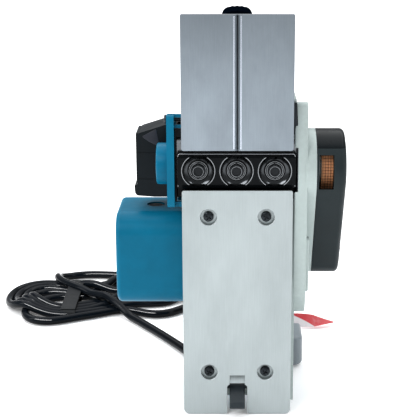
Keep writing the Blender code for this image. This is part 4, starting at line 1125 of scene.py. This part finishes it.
def make_blade_and_clamp(number, sign):
    h, l = DRUM_AXIS
    u0, u1 = DRUM_SPAN
    seat = DRUM_FLAT + GAP
    tip = math.sqrt(CUTTING_RADIUS ** 2 - seat ** 2)
    back = seat + BLADE_THICKNESS
    top_edge = back + GAP

    def across(distance, along):
        return h + sign * distance, l - sign * along

    edge = [across(seat, -6), across(seat, tip - 0.02), across(back, tip - 1.6), across(back, -6)]
    holes = [rod((u, h + sign * 10, l), (u, h + sign * 30, l), 3.3, 32) for u in BOLTS_U]
    blade = carve(plate(edge, u0 - 0.2, u1 + 0.2), [hole.copy() for hole in holes])
    piece(f"planer_blade_{number}", blade, BLADE_STEEL, body="drum", nodes=[f"blade_{number}"],
          soften=0.06, segments=1)
    outline = corners_rounded([(*across(top_edge, -CLAMP_HALF), 0.8), (*across(top_edge, CLAMP_HALF), 0.8),
                               (*across(CLAMP_TOP - 1.2, CLAMP_HALF), 1.0),
                               (*across(CLAMP_TOP, CLAMP_HALF - 3), 2.0),
                               (*across(CLAMP_TOP, 3 - CLAMP_HALF), 2.0),
                               (*across(CLAMP_TOP - 1.2, -CLAMP_HALF), 1.0)], 6)
    wells = [rod((u, h + sign * 21.4, l), (u, h + sign * 30, l), 11.2, 96) for u in BOLTS_U]
    clamp = carve(plate(outline, u0 + 0.2, u1 - 0.2), holes + wells)
    piece(f"blade_clamp_{number}", clamp, ANODISED, body="drum", nodes=[f"clamp_plate_{number}"],
          soften=0.25)
    # A thin bright wire round the clamp's outline is a painted highlight
    rim_h = h + sign * 23.75
    toe, tail = l + 12.0, l - 11.0
    run = [(u0 + 0.7, rim_h, tail), (u0 + 0.7, rim_h, toe - 1.5), (u0 + 1.1, rim_h, toe - 0.4),
           (u0 + 2.2, rim_h, toe), (u1 - 2.2, rim_h, toe), (u1 - 1.1, rim_h, toe - 0.4),
           (u1 - 0.7, rim_h, toe - 1.5), (u1 - 0.7, rim_h, tail)]
    piece(f"clamp_rim_{number}", mesh_of(tube("wire", run, 0.42, 4)), EDGE, body="drum", smooth=60)
    for index, u in enumerate(BOLTS_U, 1):
        make_clamp_bolt(3 * (number - 1) + index, u, sign)
        # A bright ring at each well's edge is a painted highlight
        well_rim_highlight = turned([(11.15, 0), (11.75, 0), (11.75, 0.9), (11.15, 0.9)],
                           (u, h + sign * (CLAMP_TOP - 0.62), l), (0, sign, 0), 96)
        trimmed = carve(well_rim_highlight, beyond_clamp(u))
        piece(f"clamp_well_edge_{3 * (number - 1) + index}", trimmed, RING_HIGHLIGHT, body="drum",
              slot="black_drum", soften=0.12, segments=2)


def beyond_clamp(u):
    """What lies past the clamp's two long edges at a bolt."""
    h, l = DRUM_AXIS
    return [box((u - 14, h - 60, l + 9.7), (u + 14, h + 60, l + 20)),
            box((u - 14, h - 60, l - 20), (u + 14, h + 60, l - 9.7))]


def make_clamp_bolt(number, u, sign):
    """Hexagon bolt with a coned, serrated flange."""
    h, l = DRUM_AXIS
    place = (u, h, l)
    way = (0, sign, 0)
    flange = turned([(0, 21.7), (6.1, 21.7), (6.5, 22.0), (6.5, 22.5), (5.9, 23.0), (5.2, 23.3), (0, 23.3)],
                    place, way, 72)
    hexagon = rod((u, h + sign * 22.5, l), (u, h + sign * 26.2, l), 5.1, 6)
    shank = rod((u, h + sign * 10, l), (u, h + sign * 22.0, l), 2.9, 32)
    dimple = turned([(0, 25.7), (2.6, 25.7), (3.0, 27), (0, 27)], place, way, 48)
    serrations = []
    for k in range(18):
        angle = 2 * math.pi * k / 18
        c, s = math.cos(angle), math.sin(angle)
        outer = (u + 7.4 * c, h + sign * 22.6, l + 7.4 * s)
        inner = (u + 5.4 * c, h + sign * 24.1, l + 5.4 * s)
        serrations.append(rod(outer, inner, 0.28, 8))
    bm = carve(carve(flange, serrations, [hexagon, shank]), [dimple])
    piece(f"clamp_screw_{number}", bm, BOLT, body="drum", nodes=[f"clamp_bolt_{number}"], soften=0.3)
    # Thin bright rings at the flange, cone and crown edges are painted highlights
    for name, radius, height in (("flange", 6.35, 22.75), ("cone", 5.35, 23.35), ("crown", 3.6, 26.25)):
        low, high = height - 0.25, height + 0.08
        ring = turned([(radius - 0.12, low), (radius + 0.14, low), (radius + 0.14, high),
                       (radius - 0.12, high)], place, way, 64)
        piece(f"bolt_{name}_edge_{number}", ring, RING_HIGHLIGHT, body="drum", smooth=60)
    dish = turned([(7.6, 21.42), (9.4, 21.75), (10.9, 22.9), (10.9, 21.3), (7.6, 21.3)], place, way, 96)
    piece(f"clamp_well_dish_{number}", carve(dish, beyond_clamp(u)), DISH, body="drum", smooth=50)


# ---------------------------------------------------------------- handle, trigger, knob and foot

HANDLE_SCREWS = [(60.0, 27.0), (116.0, 182.0)]
HANDLE_HALF = 15.0
LOCK_AXIS = (143.0, 127.0)
TRIGGER_PIVOT = (137.5, 160.0)


def handle_outline():
    return corners_rounded([
        (10, 12, 0), (76, 12, 10), (87, 0, 6), (124, 0, 14), (152, 30, 28), (158, 75, 60), (156, 150, 50),
        (142, 196, 22), (104, 212, 18), (74, 203, 8), (70, 153, 8), (104, 155, 14), (128, 150, 16),
        (129, 52, 18), (100, 44, 30), (60, 50, 30), (10, 54, 0)], 10)


def make_handle():
    outline = handle_outline()
    w = HANDLE_HALF
    for side, other in (("left", (-GAP / 2, w + 1)), ("right", (-w - 1, GAP / 2))):
        cuts = [box((other[0], -10, -10), (other[1], 170, 230)), box((-20, -5, -5), (20, 21.3, 70)),
                box((-20, 60, 100), (20, 84.3, 215)), box((-11.5, 133.5, 42), (11.5, 151.0, 172)),
                box((-6.6, 120, 112), (6.6, 136, 168)), rod((0, 146, 50), GUARD_END, 5.2, 40)]
        edge = -w if side == "left" else w
        for number in range(4):
            l = 66.0 + 7.0 * number
            cuts.append(cross_rod((150.5 - 0.02 * number, l), edge - 2, edge + 2, 0.7, 16))
        if side == "left":
            cuts.append(cross_rod(LOCK_AXIS, -20, -8, 4.9, 48))
            cuts += [cross_rod(axis, -20, -11, 4.0, 40) for axis in HANDLE_SCREWS]
            cuts += [cross_rod(axis, -12, 0, 2.0, 24) for axis in HANDLE_SCREWS]
        else:
            cuts += [cross_rod(axis, -1, 11, 1.9, 24) for axis in HANDLE_SCREWS]
        bm = carve(plate(outline, -w, w, rounding=7.0, rounding_steps=10), cuts)
        piece(f"handle_shell_{side}", bm, TEAL, nodes=[f"handle_{side}"], soften=0.3, segments=2, smooth=30)
    for number, axis in enumerate(HANDLE_SCREWS, 1):
        cross_screw(f"shell_screw_{number}", f"handle_screw_{number}", (-13.2, *axis), (-1, 0, 0), 3.4, 1.8,
                    20, OXIDE)


def make_grip():
    """Soft ribbed panels let into both sides of the hand grip."""
    outline = corners_rounded([(134.5, 72, 4), (150.5, 74, 6), (150.0, 112, 6), (134.5, 114, 4)], 8)
    for side, edge in (("left", -1), ("right", 1)):
        low, high = sorted((edge * (HANDLE_HALF - 1.0), edge * (HANDLE_HALF + 0.5)))
        ribs = []
        for number in range(8):
            u, l = edge * (HANDLE_HALF + 0.45), 78.0 + 4.6 * number
            ribs.append(rod((u, 136.5, l), (u, 148.5, l), 0.75, 20))
        bm = carve(plate(outline, low, high, rounding=0.45, rounding_steps=3), (), ribs)
        piece(f"grip_panel_{side}", bm, BLACK, smooth=40)


def make_controls():
    h, l = TRIGGER_PIVOT
    outline = corners_rounded([
        (h - 5.5, l + 4, 2), (h + 2.5, l + 4, 3), (h + 2.5, l - 5, 2), (134.0, l - 16, 2), (133.2, 116, 1.5),
        (121.5, 117, 2.5), (120.2, 128, 6), (122.5, 142, 6), (129.0, 152, 4)], 10)
    grooves = [cross_rod((120.0 + 0.06 * abs(k - 2) ** 2, 122.5 + 4.2 * k), -7, 7, 0.6, 20)
               for k in range(5)]
    bm = carve(plate(outline, -6.0, 6.0, rounding=1.4, rounding_steps=5),
               [cross_rod(TRIGGER_PIVOT, -8, 8, 1.6, 32)] + grooves)
    piece("trigger_lever", bm, BLACK, body="trigger", nodes=["trigger"], smooth=40)
    button = turned([(0, 0), (2.6, 0), (3.4, 0.15), (4.1, 0.6), (4.5, 1.4), (4.5, 9.8), (0, 9.8)],
                    (-18.8, *LOCK_AXIS), (1, 0, 0), 56)
    dish = turned([(0, -0.5), (2.2, -0.5), (1.6, 0.25), (0, 0.45)], (-18.8, *LOCK_AXIS), (1, 0, 0), 40)
    piece("lock_knob", carve(button, [dish]), BLACK, body="lock_button", nodes=["lock_button"], smooth=40)
    block = box((-9.5, 134.2, 66), (9.5, 150.4, 108))
    step = box((-10, 149.6, 74), (10, 151, 76))
    piece("switch_case", carve(block, [step]), BLACK, nodes=["switch_body"], soften=0.8)


def knob_outline(radius=26.0, groove=5.0, groove_width=10.0, lobes=5, count=360):
    """Broad lobes, one of them pointing to the toe, with fine ribs on each lobe."""
    outline = []
    pitch = 360 / lobes
    for i in range(count):
        angle = 360 * i / count
        from_groove = (angle - 90) % pitch - pitch / 2
        reach = radius - groove * math.exp(-(from_groove / groove_width) ** 2)
        on_lobe = max(0.0, (abs(from_groove) - 16) / 20) ** 0.5
        reach -= 0.45 * on_lobe * (0.5 - 0.5 * math.cos(math.radians(angle - 90) * 45))
        turn = math.radians(angle)
        outline.append((reach * math.cos(turn), KNOB_L + reach * math.sin(turn)))
    return outline


def make_knob():
    h0, h1 = 46.3, 90.0
    body = plate(knob_outline(), h0, h1, ALONG_H, rounding=2.4, rounding_steps=6)
    dish = turned([(0, 0), (14, 0), (16, 1.2), (16.6, 2.6), (0, 2.6)], (0, h1 - 1.0, KNOB_L), (0, 1, 0), 96)
    waist = turned([(40, -2), (40, 3.2), (22.6, 3.2), (21.6, 1.6), (22.4, -0.4), (23.2, -2)],
                   (0, h0, KNOB_L), (0, 1, 0), 120)
    bm = carve(body, [rod((0, 40, KNOB_L), (0, 70, KNOB_L), 4.3, 40), dish, waist])
    piece("depth_knob", bm, KNOB, body="knob", nodes=["front_knob"], soften=0.3, segments=2, smooth=34)
    cap = turned([(0, 0), (13.2, 0), (13.2, 0.9), (12.2, 1.5), (0, 1.9)], (0, h1 - 1.1, KNOB_L),
                 (0, 1, 0), 96)
    piece("knob_cap", cap, COVER, body="knob", smooth=30)
    cone = turned([(4.5, 36.3), (21.9, 36.3), (22.5, 36.9), (20.7, 45.6), (20.2, 46.0), (4.5, 46.0)],
                  (0, 0, KNOB_L), (0, 1, 0), 128)
    marks = []
    for number in range(40):
        angle = 2 * math.pi * number / 40
        length = 5.0 if number % 5 == 0 else 2.8
        low_radius = 24.0 * 0.935
        high_radius = low_radius - length * 0.19
        c, s = math.cos(angle), math.sin(angle)
        start = (low_radius * c, 38.2, KNOB_L + low_radius * s)
        end = (high_radius * c, 38.2 + length, KNOB_L + high_radius * s)
        marks.append(rod(start, end, 0.32, 8))
    piece("depth_scale", carve(cone, marks), BLACK, nodes=["depth_scale_ring"], soften=0.15, segments=2)


def make_foot():
    h, l = 9.5, 19.5
    drop = 8.0
    leg = corners_rounded([(h + 1, l + 3, 1), (-drop + 1.5, 11.5, 2), (-drop, 7.5, 1.2), (-drop + 3, 5.6, 2),
                           (h - 5, l - 7, 3), (h + 2.5, l - 2, 1)], 8)
    bm = carve(cross_rod((h, l), -7.1, 7.1, 3.7, 56), (),
               [plate(leg, -5.5, 5.5, rounding=0.8, rounding_steps=4),
                cross_rod((h, l), -10.6, 10.6, 1.5, 32)])
    piece("heel_foot", bm, FOOT, body="foot", nodes=["foot"], soften=0.35, segments=2)


# ---------------------------------------------------------------- pieces kept from the CAD

def finish_cad_nodes():
    slots = {part["node"]: part["material_slot"] for part in frame["record"]["subparts"]}
    for name, obj in frame["nodes"].items():
        obj.data.materials.clear()
        obj.data.materials.append(SLOTS[slots[name]][0])


# ---------------------------------------------------------------- camera, floor and light

def make_camera():
    distance, elevation = 819.0, math.radians(15)
    aim = ORIGIN + Vector((-3.0, 0, 152.4))
    camera_data = bpy.data.cameras.new("camera")
    camera_data.sensor_width = 36
    camera_data.lens = 101.74
    camera_data.shift_x = -0.0548
    camera_data.clip_end = 20
    camera = bpy.data.objects.new("camera", camera_data)
    camera.location = (aim + distance * Vector((0, -math.cos(elevation), math.sin(elevation)))) * MM
    camera.rotation_euler = (math.pi / 2 - elevation, 0, 0)
    bpy.context.scene.collection.objects.link(camera)
    bpy.context.scene.camera = camera


def make_light(name, place, aim, size, power):
    data = bpy.data.lights.new(name, "AREA")
    data.shape = "RECTANGLE"
    data.size, data.size_y = size
    data.energy = power
    lamp = bpy.data.objects.new(name, data)
    lamp.location = place
    lamp.rotation_euler = (Vector(aim) - Vector(place)).to_track_quat("-Z", "Y").to_euler()
    bpy.context.scene.collection.objects.link(lamp)
    return lamp


def make_studio(cord_group):
    world = bpy.data.worlds.new("studio")
    world.use_nodes = True
    world.node_tree.nodes["Background"].inputs["Color"].default_value = (0.97, 0.985, 1.0, 1)
    world.node_tree.nodes["Background"].inputs["Strength"].default_value = 0.50
    bpy.context.scene.world = world
    aim = (0, 0, 0.14)
    make_light("key", (-0.9, -1.2, 1.3), aim, (0.8, 0.8), 17)
    make_light("side", (-1.4, -0.1, 0.8), aim, (0.4, 1.2), 7)
    make_light("fill", (1.4, -0.6, 0.7), aim, (0.5, 1.2), 5)
    make_light("right_key", (0.8, -1.3, 1.2), aim, (0.3, 0.3), 2.2)
    make_light("top", (0.0, 2.2, 3.6), (0, 2.2, 0), (7.0, 6.0), 300)
    gleam = make_light("cord_gleam", (-0.5, -0.6, 0.9), (-0.1, 0.0, 0.02), (1.5, 0.3), 130)
    gleam.light_linking.receiver_collection = cord_group
    bpy.context.scene.view_settings.view_transform = "Standard"
    bpy.context.scene.view_settings.gamma = 0.88
    bm = bmesh.new()
    bmesh.ops.create_grid(bm, x_segments=1, y_segments=1, size=300.0)
    mesh = bpy.data.meshes.new("floor")
    bm.to_mesh(mesh)
    bm.free()
    floor = bpy.data.objects.new("floor", mesh)
    floor.location = (0, 0, -0.0005)
    bpy.context.scene.collection.objects.link(floor)
    mesh.materials.append(FLOOR)


def make_floor_material():
    n = Nodes("pale_floor")
    cloud = n.noise(3.0, 3.0)
    n.link(n.ramp(cloud, (0.3, (0.93, 0.935, 0.94)), (0.7, (0.95, 0.955, 0.96))),
           n.shader.inputs["Base Color"])
    n.set(Roughness=0.7, Specular_IOR_Level=0.1, Emission_Color=(1, 1, 1, 1), Emission_Strength=0.16)
    return n.material


# ---------------------------------------------------------------- the planer

make_camera()
cord, cord_points, cord_length = make_cord()
cord_pieces = [make_guard(), *make_plug(), make_tie(cord_points), make_tag()]
finish_cad_nodes()
make_rear_base()
make_front_base()
make_main_frame()
make_frame_details()
make_belt_cover()
make_belt()
make_bearing_plate()
make_dust_shield()
make_chip_chute()
make_motor_housing()
make_drum()
make_handle()
make_grip()
make_controls()
make_knob()
make_foot()
FLOOR = make_floor_material()
cord_group = bpy.data.collections.new("cord_gleam_receivers")
for member in (cord, cord_pieces[0]):
    cord_group.objects.link(member)
make_studio(cord_group)
